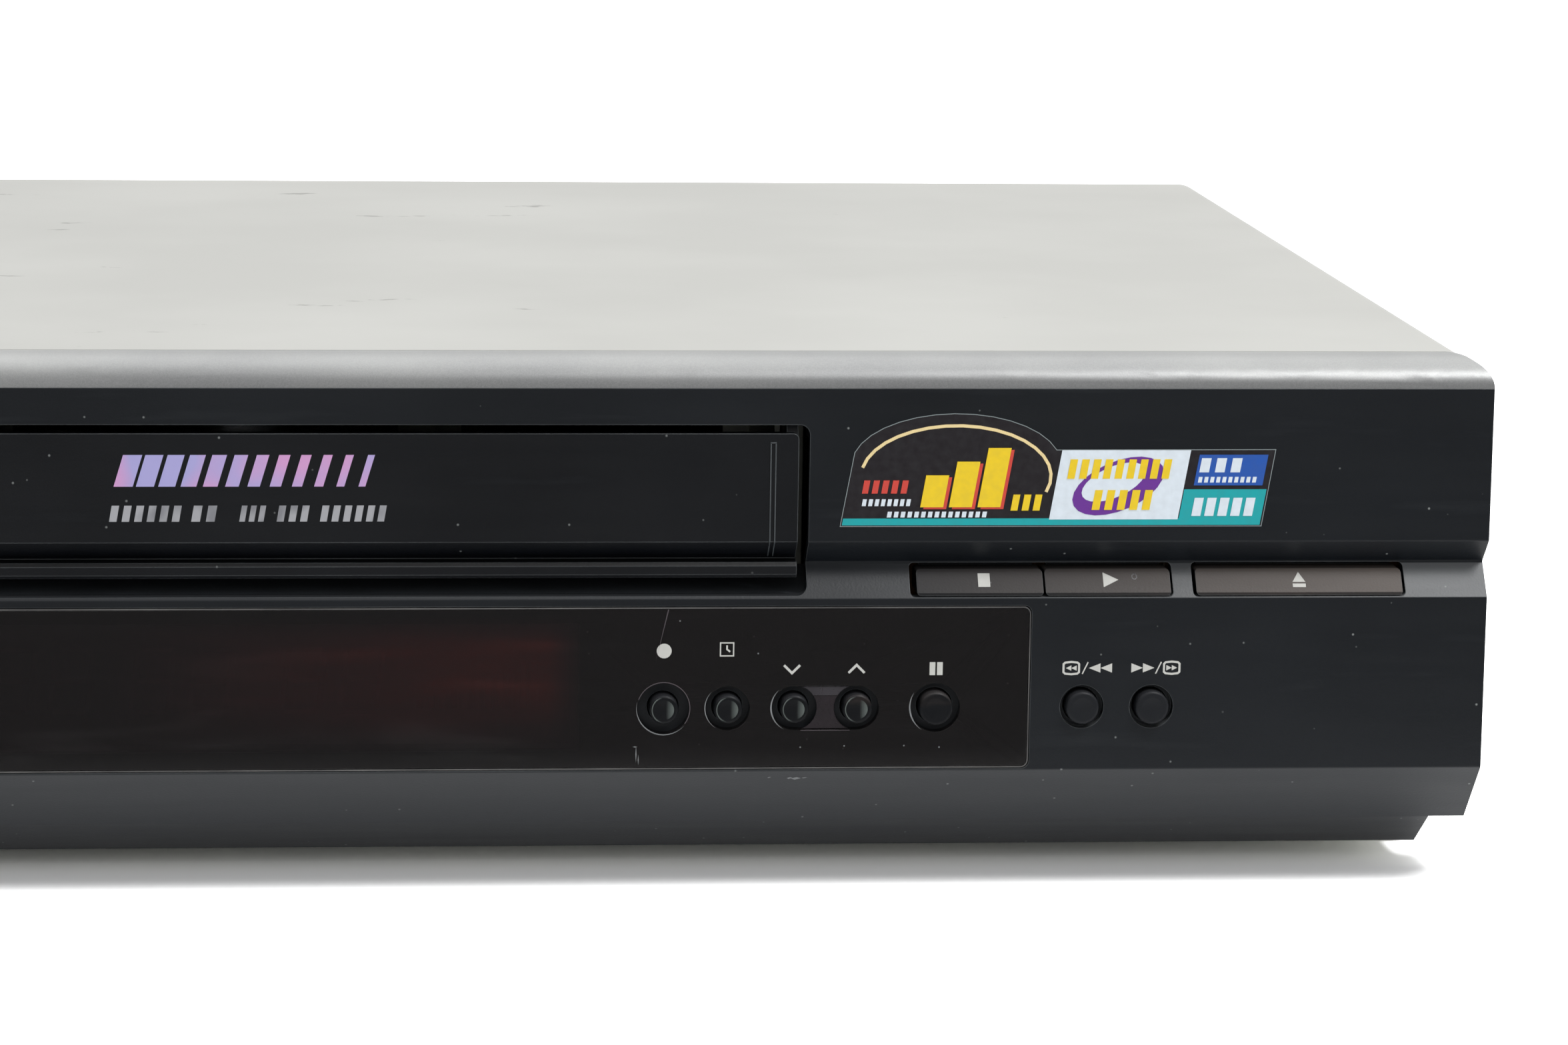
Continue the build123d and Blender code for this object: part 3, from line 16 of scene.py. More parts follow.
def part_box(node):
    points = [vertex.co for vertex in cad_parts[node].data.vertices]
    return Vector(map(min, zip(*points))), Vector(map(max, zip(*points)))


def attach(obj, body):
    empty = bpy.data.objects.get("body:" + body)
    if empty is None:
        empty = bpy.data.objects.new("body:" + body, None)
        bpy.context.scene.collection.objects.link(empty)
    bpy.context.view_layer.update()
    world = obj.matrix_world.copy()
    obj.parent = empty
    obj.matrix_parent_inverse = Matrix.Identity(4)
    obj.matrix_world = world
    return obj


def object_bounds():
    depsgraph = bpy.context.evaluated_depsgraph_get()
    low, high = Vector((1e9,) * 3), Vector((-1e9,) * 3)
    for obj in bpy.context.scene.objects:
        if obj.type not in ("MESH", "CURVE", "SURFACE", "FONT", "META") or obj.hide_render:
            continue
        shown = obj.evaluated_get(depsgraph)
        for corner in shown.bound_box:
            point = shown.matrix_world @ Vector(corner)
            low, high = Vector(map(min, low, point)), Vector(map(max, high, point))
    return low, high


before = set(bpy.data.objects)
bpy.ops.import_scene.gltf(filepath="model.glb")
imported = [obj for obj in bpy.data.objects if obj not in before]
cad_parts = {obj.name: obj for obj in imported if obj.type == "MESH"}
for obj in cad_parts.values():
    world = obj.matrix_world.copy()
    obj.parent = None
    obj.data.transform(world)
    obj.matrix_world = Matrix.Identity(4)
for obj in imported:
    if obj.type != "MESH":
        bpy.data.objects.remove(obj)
cad_low, cad_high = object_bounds()
MM = 0.001
print(len(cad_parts), "pieces,", round((cad_high.x - cad_low.x) / MM), "mm wide")

# %% [markdown]
# ## Where things are
# A drawing of such a front is read in millimetres: across from the middle, back from the flat
# face, and up from the underside of the chin. The front panel gives both starting places,
# because its box begins at the flat face and at the chin. One function then turns a place on
# the drawing into a place in the scene, which keeps every later line short.

# %% Drawing places
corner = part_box("front_panel")[0]
FACE_Y = corner.y
CHIN_Z = corner.z


def at(across, depth, height):
    """A scene point from millimetres across, behind the face and above the chin."""
    return Vector((across * MM, FACE_Y + depth * MM, CHIN_Z + height * MM))


def drawn_box(name):
    """A piece's box in drawing millimetres: left, right, front, back, low and high."""
    low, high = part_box(name)
    across = [low.x / MM, high.x / MM]
    depths = [(y - FACE_Y) / MM for y in (low.y, high.y)]
    return across + depths + [(z - CHIN_Z) / MM for z in (low.z, high.z)]


print("the face is at y =", round(FACE_Y, 4), "m, the chin at z =", round(CHIN_Z, 4), "m")

# %% [markdown]
# ## The camera
# A product shot like this one is taken from about 0.9 m with a long lens, a little above the
# machine and turned towards its right-hand end, so that the left part runs out of the frame.
# A long lens keeps the edges close to parallel. A Track To constraint could aim the camera,
# but its three angles written down are exact and easy to check.

# %% Camera
FRAME_WIDTH = 2352
FOCAL_PIXELS = 7667
CAMERA_PLACE = (2.3, -867.1, 216.4)
YAW, PITCH, ROLL = 4.919, 9.147, 0.777
SENSOR = 36.0
SHIFT = 0.05

camera = bpy.data.objects.new("camera", bpy.data.cameras.new("camera"))
bpy.context.scene.collection.objects.link(camera)
camera.data.sensor_width = SENSOR
camera.data.lens = SENSOR * FOCAL_PIXELS / FRAME_WIDTH
camera.data.shift_x = SHIFT
camera.data.shift_y = -SHIFT
turned = Matrix.Rotation(-math.radians(YAW), 4, "Z")
tipped = Matrix.Rotation(math.radians(90 - PITCH), 4, "X")
leaning = Matrix.Rotation(math.radians(ROLL), 4, "Z")
camera.matrix_world = Matrix.Translation(at(*CAMERA_PLACE)) @ turned @ tipped @ leaning
camera.data.clip_start = 0.05
camera.data.clip_end = 30.0
bpy.context.scene.camera = camera
print("lens", round(camera.data.lens, 1), "mm")

# %% [markdown]
# ## Colours and nodes
# Paint charts and screens give colours as sRGB hex, but shaders work in linear light, so one
# function turns the first into the second. A second function adds one node with its settings
# and its links. An input is named as Blender shows it, and may be a number, a hex colour or
# another node. Three looks come back in most materials: patches of two tones, coats laid over
# each other through masks, and a relief on a surface whose edges are rounded.

# %% Helpers for materials
SMOOTH = 4


def linear(hex_colour):
    """sRGB hex, such as #1e2224, as linear RGBA."""
    values = [int(hex_colour[i : i + 2], 16) / 255 for i in (1, 3, 5)]
    light = [v / 12.92 if v <= 0.04045 else ((v + 0.055) / 1.055) ** 2.4 for v in values]
    return (*light, 1.0)


def feed(node, inputs):
    """Sets or links inputs: a number, a hex colour, a node or one of a node's outputs."""
    for name, value in inputs.items():
        sockets = [s for s in node.inputs if s.enabled and name in (s.name, s.identifier)]
        socket = node.inputs[name] if isinstance(name, int) else sockets[0]
        if isinstance(value, bpy.types.Node):
            value = next(s for s in value.outputs if s.enabled)
        if isinstance(value, bpy.types.NodeSocket):
            node.id_data.links.new(value, socket)
        else:
            socket.default_value = linear(value) if isinstance(value, str) else value


def add(tree, kind, inputs=None, **settings):
    """Adds one node, with its settings and its inputs."""
    node = tree.nodes.new("ShaderNode" + kind)
    for name, value in settings.items():
        setattr(node, name, value)
    feed(node, inputs or {})
    return node


def blank(name, roughness, metallic=0.0, ior=1.5, specular=0.5):
    """A new material: its tree, its shader, and the object's own coordinates in metres."""
    material = bpy.data.materials.new(name)
    material.use_nodes = True
    tree = material.node_tree
    shader = tree.nodes["Principled BSDF"]
    shader.inputs["Roughness"].default_value = roughness
    shader.inputs["Metallic"].default_value = metallic
    shader.inputs["Specular IOR Level"].default_value = specular
    if not metallic:
        shader.inputs["IOR"].default_value = ior
    place = add(tree, "TexCoord").outputs["Object"]
    return material, tree, shader, place


def coated(tree, colour, coats):
    """Lays coats over a colour: each is a mask and what it lets through."""
    for mask, coat in coats:
        colour = add(tree, "Mix", {"Factor": mask, "A": colour, "B": coat}, data_type="RGBA")
    return colour


def patches(tree, place, size, detail, tones, start=0.35, end=0.65, most=1.0):
    """Two tones in soft patches: the noise, and the colour that it makes."""
    noise = add(tree, "TexNoise", {"Vector": place, "Scale": 1 / size, "Detail": detail})
    limits = {"From Min": start, "From Max": end, "To Max": most}
    tone = add(tree, "MapRange", {"Value": noise, **limits})
    return noise, coated(tree, tones[0], [(tone, tones[1])])


def relief(tree, height, depth, edge):
    """A surface rounded at its edges, with a height in metres laid over it."""
    rounded = add(tree, "Bevel", {"Radius": edge}, samples=SMOOTH)
    return add(tree, "Bump", {"Height": height, "Normal": rounded, "Distance": depth})


print("colours and nodes ready")

# %% [markdown]
# ## Black ABS of the front
# The front is injection-moulded ABS, an opaque plastic with an IOR of about 1.53. Its mould was
# spark-eroded, which leaves a fine satin grain that spreads highlights. The grain is about
# 0.1 mm; it is drawn at 0.4 mm so that it shows at all. Years on a shelf add pale dust specks and
# faint rubs along the machine. Edges are painted lighter: partly polish, partly a painted highlight.
# An image of plastic would be quicker, but a node material has no seams and no resolution.
# The grain traps much of the mirror reflection, so the specular level is well below its default.
#
# The chin and the shelf under the brow are painted paler than the flat faces: on the chin a painted
# reflection of the floor, on the shelf a painted sheen of the lamps, stronger towards its right-hand
# end. One mask takes faces that look up, another the chin, a third the right-hand end. On the small
# dished keys a further mask paints a highlight on what leans to the left.

# %% Black moulded ABS
ABS_IOR = 1.53
CHIN_TOP = CHIN_Z + 18.6 * MM
GRAIN_SIZE = 0.4 * MM
GRAIN_DEPTH = 0.02 * MM
CLOUD_SIZE = 40 * MM
RUB_SIZE = 4 * MM
DUST_SPACING = 3.2 * MM
EDGE_RADIUS = 0.22 * MM
# across, in metres, where the shelf's painted sheen grows towards the right-hand end
SHELF_SHEEN_SPAN = (0.1, 0.21)
DUST_GREY = "#8d9190"
# the edges' colour: partly polish, partly a painted highlight
EDGE_WEAR_AND_HIGHLIGHT_GREY = "#7d8284"
SHINE_RANGE = 0.05


def moulded_abs(name, tones, roughness, specular, dust, wear, edge_wear_and_highlight, dish_highlight=None):
    """Satin moulded plastic with clouds of tone, rubs, dust, and painted sheen, reflection and highlights.
    """
    dark, light, shelf, shelf_sheen_end, chin_reflection = tones
    material, tree, shader, place = blank(name, roughness, ior=ABS_IOR, specular=specular)
    clouds = add(tree, "TexNoise", {"Vector": place, "Scale": 1 / CLOUD_SIZE, "Detail": 3.0})
    heights = add(tree, "SeparateXYZ", {"Vector": place}).outputs
    true = add(tree, "NewGeometry").outputs["Normal"]
    looks = add(tree, "SeparateXYZ", {"Vector": true}).outputs
    # rubs run along the machine, so the noise is drawn out along X
    drawn = add(tree, "VectorMath", {0: place, 1: (0.1, 1, 1)}, operation="MULTIPLY")
    rubs = add(tree, "TexNoise", {"Vector": drawn, "Scale": 1 / RUB_SIZE, "Detail": 5.0})
    # a speck of dust in the middle of about a third of the cells
    cells = add(tree, "TexVoronoi", {"Vector": place, "Scale": 1 / DUST_SPACING})
    lot = add(tree, "SeparateColor", {"Color": cells.outputs["Color"]})
    # edges, painted lighter as polish and as a painted highlight, show where a rounded normal leaves the
    # true one
    rounded = add(tree, "Bevel", {"Radius": EDGE_RADIUS}, samples=SMOOTH)
    agreement = add(tree, "VectorMath", {0: rounded, 1: true}, operation="DOT_PRODUCT").outputs["Value"]
    # each mask: what it reads, where it starts and is full, its least and its most
    ranges = {
        "tone": (clouds, 0.35, 0.65, 0, 1),
        # the next three masks paint light: a sheen growing to the right, a sheen on faces that look up, a
        # reflection on the chin
        "far": (heights["X"], *SHELF_SHEEN_SPAN, 0, 1),
        "upward sheen": (looks["Z"], 0.3, 0.7, 0, 1),
        "chin": (heights["Z"], CHIN_TOP, CHIN_TOP - 0.3 * MM, 0, 1),
        "rubbed": (rubs, 0.6, 0.78, 0, 0.25),
        "chosen": (lot, 0.69, 0.71, 0, 1),
        "speck": (cells, 0.085, 0.03, 0, dust),
        "edge": (agreement, 0.985, 0.86, 0, edge_wear_and_highlight),
        "uneven wear": (clouds, 0.3, 0.6, 0.45, 1),
        "shine": (rubs, 0.3, 0.7, roughness + SHINE_RANGE, roughness - SHINE_RANGE),
    }
    products = {"dusty": ("chosen", "speck"), "worn and highlit edge": ("edge", "uneven wear")}
    if dish_highlight:
        # a painted highlight where the dish leans to the left and faces the front
        ranges["leaning"] = (looks["X"], -0.05, -0.24, 0, 0.9)
        ranges["off the rim"] = (looks["X"], -0.33, -0.29, 0, 1)
        ranges["frontal"] = (looks["Y"], -0.85, -0.93, 0, 1)
        products["thumbed"] = ("leaning", "off the rim")
        products["thumbed front"] = ("thumbed", "frontal")
    masks = {}
    for mask, (value, start, end, least, most) in ranges.items():
        limits = {"From Min": start, "From Max": end, "To Min": least, "To Max": most}
        masks[mask] = add(tree, "MapRange", {"Value": value, **limits})
    for mask, (one, other) in products.items():
        masks[mask] = add(tree, "Math", {0: masks[one], 1: masks[other]}, operation="MULTIPLY")
    shelf = coated(tree, shelf, [(masks["far"], shelf_sheen_end)])
    coats = {"tone": light, "upward sheen": shelf, "chin": chin_reflection, "rubbed": wear}
    coats.update({"dusty": DUST_GREY, "worn and highlit edge": EDGE_WEAR_AND_HIGHLIGHT_GREY})
    if dish_highlight:
        coats["thumbed front"] = dish_highlight
    colour = coated(tree, dark, [(masks[mask], coat) for mask, coat in coats.items()])
    grain = add(tree, "TexNoise", {"Vector": place, "Scale": 1 / GRAIN_SIZE, "Detail": 1.0})
    satin = add(tree, "Bump", {"Height": grain, "Normal": rounded, "Distance": GRAIN_DEPTH})
    feed(shader, {"Base Color": colour, "Normal": satin, "Roughness": masks["shine"]})
    return material


# dark, light, painted sheen of the shelf, painted sheen at the shelf's right-hand end, painted reflection on
# the chin
FRONT_BLACK = ("#0f1318", "#14181d", "#2e3033", "#6c6e70", "#3a3c3f")
FLAP_BLACK = ("#0c0e12", "#111317", "#0b0c0e", "#0b0c0e", "#111317")
KEY_BLACK = ("#0a0c0f", "#0f1115", "#2a2b2e", "#6a625d", "#0f1115")
WINDING_BLACK = ("#16181c", "#1c1e22", "#2a2b2e", "#2a2b2e", "#16181c")
RIB_GREY = ("#3c4145",) * 5
KEY_WEAR = "#4a3d36"
# painted highlight in the small keys' dishes
DISH_HIGHLIGHT_GREY = "#6f7774"
black_abs = moulded_abs("black_abs", FRONT_BLACK, 0.42, 0.28, 0.8, "#34373a", 0.75)
flap_abs = moulded_abs("flap_abs", FLAP_BLACK, 0.36, 0.27, 0.6, "#2c3033", 0.9)
key_abs = moulded_abs("key_abs", KEY_BLACK, 0.45, 0.16, 0.4, KEY_WEAR, 0.6)
small_key_abs = moulded_abs("small_key_abs", KEY_BLACK, 0.45, 0.16, 0.4, KEY_WEAR, 0.6, DISH_HIGHLIGHT_GREY)
winding_key_abs = moulded_abs("winding_key_abs", WINDING_BLACK, 0.45, 0.2, 0.4, "#34383a", 0.7)
rib_abs = moulded_abs("rib_abs", RIB_GREY, 0.3, 0.3, 0.0, "#5a5f62", 0.6)
print("black ABS done")

# %% [markdown]
# ## Smaller finishes
# Most inner pieces are a plain material with a little life in it: two close tones in patches,
# a fine grain, and a roughness that wanders. One recipe covers them, and each call says what
# the real material is. Rolled or turned metal gets its grain drawn out along one direction.

# %% A recipe for plain materials
SMALL_EDGE = 0.2 * MM
EVEN = (1, 1, 1)
ALONG = (0.06, 1, 1)
TURNED = (1, 1, 8)


def finish(name, dark, light, roughness, metallic=0.0, ior=1.5, patch=15, grain=0.4, depth=0.008, way=EVEN):
    """Two tones in patches (mm across), a grain (mm across, mm deep), uneven roughness."""
    material, tree, shader, place = blank(name, roughness, metallic, ior)
    colour = patches(tree, place, patch * MM, 4.0, (dark, light), 0.3, 0.7)[1]
    moved = add(tree, "VectorMath", {0: place, 1: way}, operation="MULTIPLY")
    fine = add(tree, "TexNoise", {"Vector": moved, "Scale": 1 / (grain * MM), "Detail": 2.0})
    grained = relief(tree, fine, depth * MM, SMALL_EDGE)
    shine = {"From Min": 0.25, "From Max": 0.75, "To Min": roughness * 0.85, "To Max": roughness * 1.15}
    uneven = add(tree, "MapRange", {"Value": fine, **shine})
    feed(shader, {"Base Color": colour, "Normal": grained, "Roughness": uneven})
    return material


# zinc plate on rolled sheet steel: grey, faintly yellow patches, a rolled grain along X
zinc_steel = finish("zinc_steel", "#979993", "#a6a79e", 0.36, 1.0, patch=22, grain=0.5, way=ALONG)
# black zinc on screws: dark metal with a dull shine
black_zinc = finish("black_zinc", "#2a2a2b", "#3c3c3d", 0.38, metallic=1.0, patch=2)
# turned aluminium of drum and guide posts: bright, fine rings
turned_aluminium = finish("turned_aluminium", "#b9bbbd", "#cfd1d3", 0.22, 1.0, grain=0.3, way=TURNED)
# nickel plate on socket shells: bright and a little warm
nickel = finish("nickel", "#b8b4a8", "#cbc7bb", 0.2, metallic=1.0, patch=3)
# acetal gears and reels: waxy, off-white
white_acetal = finish("white_acetal", "#cfccc0", "#dedbd0", 0.45, ior=1.48)
black_acetal = finish("black_acetal", "#151516", "#1d1d1e", 0.4, ior=1.48)
# neoprene belt and roller: almost black, dry
neoprene = finish("neoprene", "#121212", "#1b1b1b", 0.75, ior=1.52, grain=0.25)
# foot rubber: dull dark grey
foot_rubber = finish("foot_rubber", "#1d1d1d", "#2a2a2a", 0.8, ior=1.52, grain=0.5, depth=0.03)
# nylon or PBT of connectors and switches
black_nylon = finish("black_nylon", "#161617", "#202021", 0.5, ior=1.53)
# epoxy of moulded chips: matt black with a grain
chip_epoxy = finish("chip_epoxy", "#141414", "#1c1c1d", 0.6, ior=1.55, grain=0.3)
# polyester film over a yellow winding
winding_tape = finish("winding_tape", "#a58a2a", "#bb9f3c", 0.35, ior=1.6, patch=6)
# shrink sleeve on cans: glossy blue-black
can_sleeve = finish("can_sleeve", "#141a2c", "#1d2640", 0.28, ior=1.53)
# polyester flat cable: milky white
cable_film = finish("cable_film", "#c9c8c0", "#dbdad2", 0.35, ior=1.6)
# vacuum tube glass over a dark getter: nearly black, polished
tube_glass = finish("tube_glass", "#0b0808", "#140d0c", 0.12, ior=1.52, depth=0.0)
# oiled music wire: dark
spring_wire = finish("spring_wire", "#1c1c1d", "#2a2a2b", 0.4, metallic=1.0, patch=2)
print(len(bpy.data.materials), "materials so far")

# %% [markdown]
# ## Painted steel of the cover
# The cover is one sheet of steel, folded and sprayed a warm light grey. Sprayed enamel dries
# with a slight orange peel, ripples of about a millimetre, and a lid that things were stood on
# has short dark scuffs and a little dust. The scuffs are the peaks of a noise that is drawn out
# sideways; painting each one by hand would pin them to places that nobody remembers.

# %% Cover enamel
COVER_CLOUD = 70 * MM
SCUFF_SIZE = 9 * MM
PEEL_SIZE = 1.1 * MM
PEEL_DEPTH = 0.012 * MM
FOLD_EDGE = 0.4 * MM
SCUFF_GREY = "#5c5b56"


def painted_steel(name, dark, light, roughness):
    """Sprayed enamel with orange peel and a few short scuffs."""
    material, tree, shader, place = blank(name, roughness, specular=0.4)
    colour = patches(tree, place, COVER_CLOUD, 3.0, (dark, light))[1]
    drawn = add(tree, "VectorMath", {0: place, 1: (0.35, 1, 1)}, operation="MULTIPLY")
    rough = {"Scale": 1 / SCUFF_SIZE, "Detail": 6.0, "Roughness": 0.62}
    marks = add(tree, "TexNoise", {"Vector": drawn, **rough})
    scuffed = add(tree, "MapRange", {"Value": marks, "From Min": 0.69, "From Max": 0.72, "To Max": 0.6})
    colour = coated(tree, colour, [(scuffed, SCUFF_GREY)])
    peel = add(tree, "TexNoise", {"Vector": place, "Scale": 1 / PEEL_SIZE, "Detail": 1.0})
    feed(shader, {"Base Color": colour, "Normal": relief(tree, peel, PEEL_DEPTH, FOLD_EDGE)})
    return material


cover_enamel = painted_steel("cover_enamel", "#b7b7b2", "#bfbfba", 0.42)
print("cover enamel done")

# %% [markdown]
# ## Silver paint of the top lip
# The lip along the top of the front is ABS, sprayed with a lacquer that holds aluminium
# flakes. Flakes lie almost flat, so the paint is brighter where it faces the light and falls
# off quickly to a blue grey. The paint is part metallic and part plastic, and the fall to grey is
# painted shade where the lip turns away from straight up. The flakes are cells of 0.15 mm that
# tilt the surface a little, and some of them are painted lighter as glints.

# %% Silver lacquer
SPRAY_CLOUD = 30 * MM
FLAKE_SIZE = 0.15 * MM
FLAKE_TILT = 0.003 * MM
LIP_EDGE = 0.12 * MM
# painted shade where the lip turns away from straight up, and painted glints of flakes
PAINTED_SHADE_GREY = "#5e5f61"
PAINTED_GLINT_GREY = "#e6e6e4"


def flake_lacquer(name, dark, light, roughness):
    """Lacquer with aluminium flakes, painted shade where it turns from straight up, and painted glints."""
    material, tree, shader, place = blank(name, roughness, metallic=0.55)
    colour = patches(tree, place, SPRAY_CLOUD, 3.0, (dark, light))[1]
    looks = add(tree, "SeparateXYZ", {"Vector": add(tree, "NewGeometry").outputs["Normal"]})
    fall = {"From Min": 0.97, "From Max": 0.3, "To Max": 0.5}
    painted_shade = add(tree, "MapRange", {"Value": looks.outputs["Z"], **fall})
    flakes = add(tree, "TexVoronoi", {"Vector": place, "Scale": 1 / FLAKE_SIZE})
    bright = add(tree, "SeparateColor", {"Color": flakes.outputs["Color"]})
    painted_glint = add(tree, "MapRange", {"Value": bright, "To Max": 0.08})
    colour = coated(tree, colour, [(painted_shade, PAINTED_SHADE_GREY), (painted_glint, PAINTED_GLINT_GREY)])
    feed(shader, {"Base Color": colour, "Normal": relief(tree, bright, FLAKE_TILT, LIP_EDGE)})
    return material


silver_lacquer = flake_lacquer("silver_lacquer", "#969797", "#a1a2a1", 0.42)
print("silver lacquer done")

# %% [markdown]
# ## Smoked acrylic of the display window
# The window is acrylic, IOR 1.49, tinted brown-black right through so that the unlit display
# behind it almost disappears. The tint is the colour of what passes through it. Across the
# display the back carries a reddish filter foil: the share that does not pass through is a dull
# diffuse red brown, laid on in uneven smears that are a painted reflection. Wiping has left faint
# streaks, a change of gloss that lives in the roughness, and the same streaks shape those smears.
# The reflection is kept low, because a hard-coated window gives back little of the room.

# %% Smoked acrylic
ACRYLIC_IOR = 1.49
STREAK_SIZE = 5 * MM
TUBE_LOW, TUBE_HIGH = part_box("display_tube")
# the foil fades in from a start to an end, on each side of the display, from a least share
FOIL_SIDES = (
    ("X", TUBE_HIGH.x + 2 * MM, TUBE_HIGH.x - 4 * MM, 0.0),
    ("X", TUBE_LOW.x + 30 * MM, TUBE_LOW.x + 80 * MM, 0.03),
    ("Z", TUBE_HIGH.z + 2 * MM, TUBE_HIGH.z - 2 * MM, 0.0),
    ("Z", TUBE_LOW.z, TUBE_LOW.z + 9 * MM, 0.0),
)
CLEAR, FOILED = 0.975, 0.86


def smoked_acrylic(name, tint, foil, roughness):
    """Tinted acrylic with wiped streaks, and a reddish foil before the display in painted smears of
    reflection.
    """
    material, tree, shader, place = blank(name, roughness, ior=ACRYLIC_IOR, specular=0.1)
    drawn = add(tree, "VectorMath", {0: place, 1: (0.12, 1, 1)}, operation="MULTIPLY")
    smeared = {"Scale": 1 / STREAK_SIZE, "Detail": 3.0, "Distortion": 0.6}
    streaks = add(tree, "TexNoise", {"Vector": drawn, **smeared})
    # the foil is laid on in smears, a painted reflection
    smear_reflection = add(tree, "MapRange", {"Value": streaks, "From Min": 0.4, "From Max": 0.7})
    where = add(tree, "SeparateXYZ", {"Vector": place}).outputs
    over = add(tree, "MapRange", {"Value": smear_reflection, "To Min": 0.55, "To Max": 1.0})
    for axis, start, end, least in FOIL_SIDES:
        limits = {"From Min": start, "From Max": end, "To Min": least}
        side = add(tree, "MapRange", {"Value": where[axis], **limits})
        over = add(tree, "Math", {0: over, 1: side}, operation="MULTIPLY")
    passes = add(tree, "MapRange", {"Value": over, "To Min": CLEAR, "To Max": FOILED})
    colour = coated(tree, tint, [(over, foil)])
    haze = {"From Min": 0.5, "From Max": 0.75, "To Min": roughness, "To Max": roughness + 0.2}
    hazy = add(tree, "MapRange", {"Value": streaks, **haze})
    rounded = add(tree, "Bevel", {"Radius": SMALL_EDGE}, samples=SMOOTH)
    feed(shader, {"Base Color": colour, "Transmission Weight": passes})
    feed(shader, {"Roughness": hazy, "Normal": rounded})
    return material


smoked = smoked_acrylic("smoked_acrylic", "#493339", "#6b2a26", 0.06)
print("smoked acrylic done")

# %% [markdown]
# ## Circuit board
# A cheap brown board is paper soaked in phenolic resin: matt, mottled, with a light print of
# component outlines. The print is drawn as the thin joints of an uneven brick pattern, with
# rows at 5 mm, the pitch of parts on such a board.

# %% Phenolic board
FIBRE_SIZE = 0.8 * MM
FIBRE_DEPTH = 0.01 * MM
PRINT_LINE = 0.15 * MM
PRINT_GRID = (10 * MM, 5 * MM)
PRINT_PALE = "#d8d3bd"


def phenolic_board(name, dark, light, roughness):
    """Mottled resin paper with a faint print of component outlines."""
    material, tree, shader, place = blank(name, roughness, ior=1.55)
    fibres, colour = patches(tree, place, FIBRE_SIZE, 4.0, (dark, light), 0.3, 0.7)
    lines = {"Color1": "#000000", "Color2": "#000000", "Mortar": "#ffffff", "Scale": 1.0}
    lines.update({"Mortar Size": PRINT_LINE, "Brick Width": PRINT_GRID[0], "Row Height": PRINT_GRID[1]})
    rows = {"offset": 0.35, "offset_frequency": 3, "squash": 0.5, "squash_frequency": 3}
    printed = add(tree, "TexBrick", {"Vector": place, **lines}, **rows)
    faint = add(tree, "MapRange", {"Value": printed.outputs["Color"], "To Max": 0.4})
    rough = add(tree, "Bump", {"Height": fibres, "Distance": FIBRE_DEPTH})
    feed(shader, {"Base Color": coated(tree, colour, [(faint, PRINT_PALE)]), "Normal": rough})
    return material


board = phenolic_board("phenolic_board", "#6b431f", "#7d5228", 0.5)
print("board done")

# %% [markdown]
# ## Dressing the CAD pieces
# A CAD piece keeps its mesh and its place, and only its material changes. The list goes from
# finish to pieces, which makes it easy to see that none is left out.

# %% Assign materials to the CAD pieces
KEYS = ["record", "timer", "channel_down", "channel_up", "pause", "rewind", "fast_forward"]
KEYS += ["stop", "play", "eject", "power"]
dress = {
    black_abs: ["front_panel"],
    flap_abs: ["cassette_flap"],
    small_key_abs: [key + "_button" for key in KEYS[:4]],
    winding_key_abs: ["rewind_button", "fast_forward_button"],
    key_abs: [key + "_button" for key in ("pause", "stop", "play", "eject", "power")],
    silver_lacquer: ["top_trim"],
    smoked: ["display_window"],
    cover_enamel: ["top_cover"],
    tube_glass: ["display_tube"],
    board: ["front_board", "main_board"],
    zinc_steel: [
        "chassis", "rear_panel", "tuner_module", "deck_plate", "deck_pins", "left_side_frame",
        "right_side_frame", "cassette_holder", "capstan_motor", "capstan_flywheel", "pinch_arm",
        "tension_arm", "erase_head", "audio_head", "loading_motor",
    ],
    turned_aluminium: ["upper_drum", "drum_base", "supply_guide", "takeup_guide", "heat_sink"],
    nickel: ["front_av_sockets", "audio_sockets"],
    white_acetal: ["supply_reel", "takeup_reel", "idler_wheel", "centre_pulley", "mode_cam"],
    black_acetal: ["carriage_slider", "idler_arm"],
    black_nylon: ["tact_switches", "mains_inlet", "scart_sockets"],
    neoprene: ["drive_belt", "pinch_roller"],
    foot_rubber: ["feet"],
    black_zinc: ["cover_screws"],
    winding_tape: ["transformer"],
    can_sleeve: ["capacitors"],
    chip_epoxy: ["integrated_circuits"],
    cable_film: ["ribbon_cable"],
    spring_wire: ["flap_spring"],
}
for material, names in dress.items():
    for name in names:
        piece = bpy.data.objects[name]
        piece.data.materials.clear()
        piece.data.materials.append(material)
print("dressed", sum(len(names) for names in dress.values()), "of", len(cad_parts))

# %% [markdown]
# ## Printed marks
# Symbols on such a front are pad-printed: a film of pale ink about 0.02 mm thick. They could
# be drawn in the plastic's material, but then they could not ride on a key. So each mark is a
# thin closed solid of its own, built from two simple shapes: a filled outline and a stroke of
# even width. It is drawn 0.04 mm thick, so that it stands clear of the face behind it.
# A key's face leans back, so a mark asks how deep the face is at each height.

# %% Helpers for printed marks
INK_THICKNESS = 0.04


def flat_face(height):
    """Depth of the flat front face, the same at every height."""
    return 0.0


def filled(mesh, outline, depth, thickness=INK_THICKNESS):
    """A closed plate from an outline of points across and up."""
    front = [mesh.verts.new(at(x, depth(z) - thickness, z)) for x, z in outline]
    back = [mesh.verts.new(at(x, depth(z), z)) for x, z in outline]
    mesh.faces.new(front)
    mesh.faces.new(back[::-1])
    for i in range(len(front)):
        j = (i + 1) % len(front)
        mesh.faces.new((front[i], back[i], back[j], front[j]))


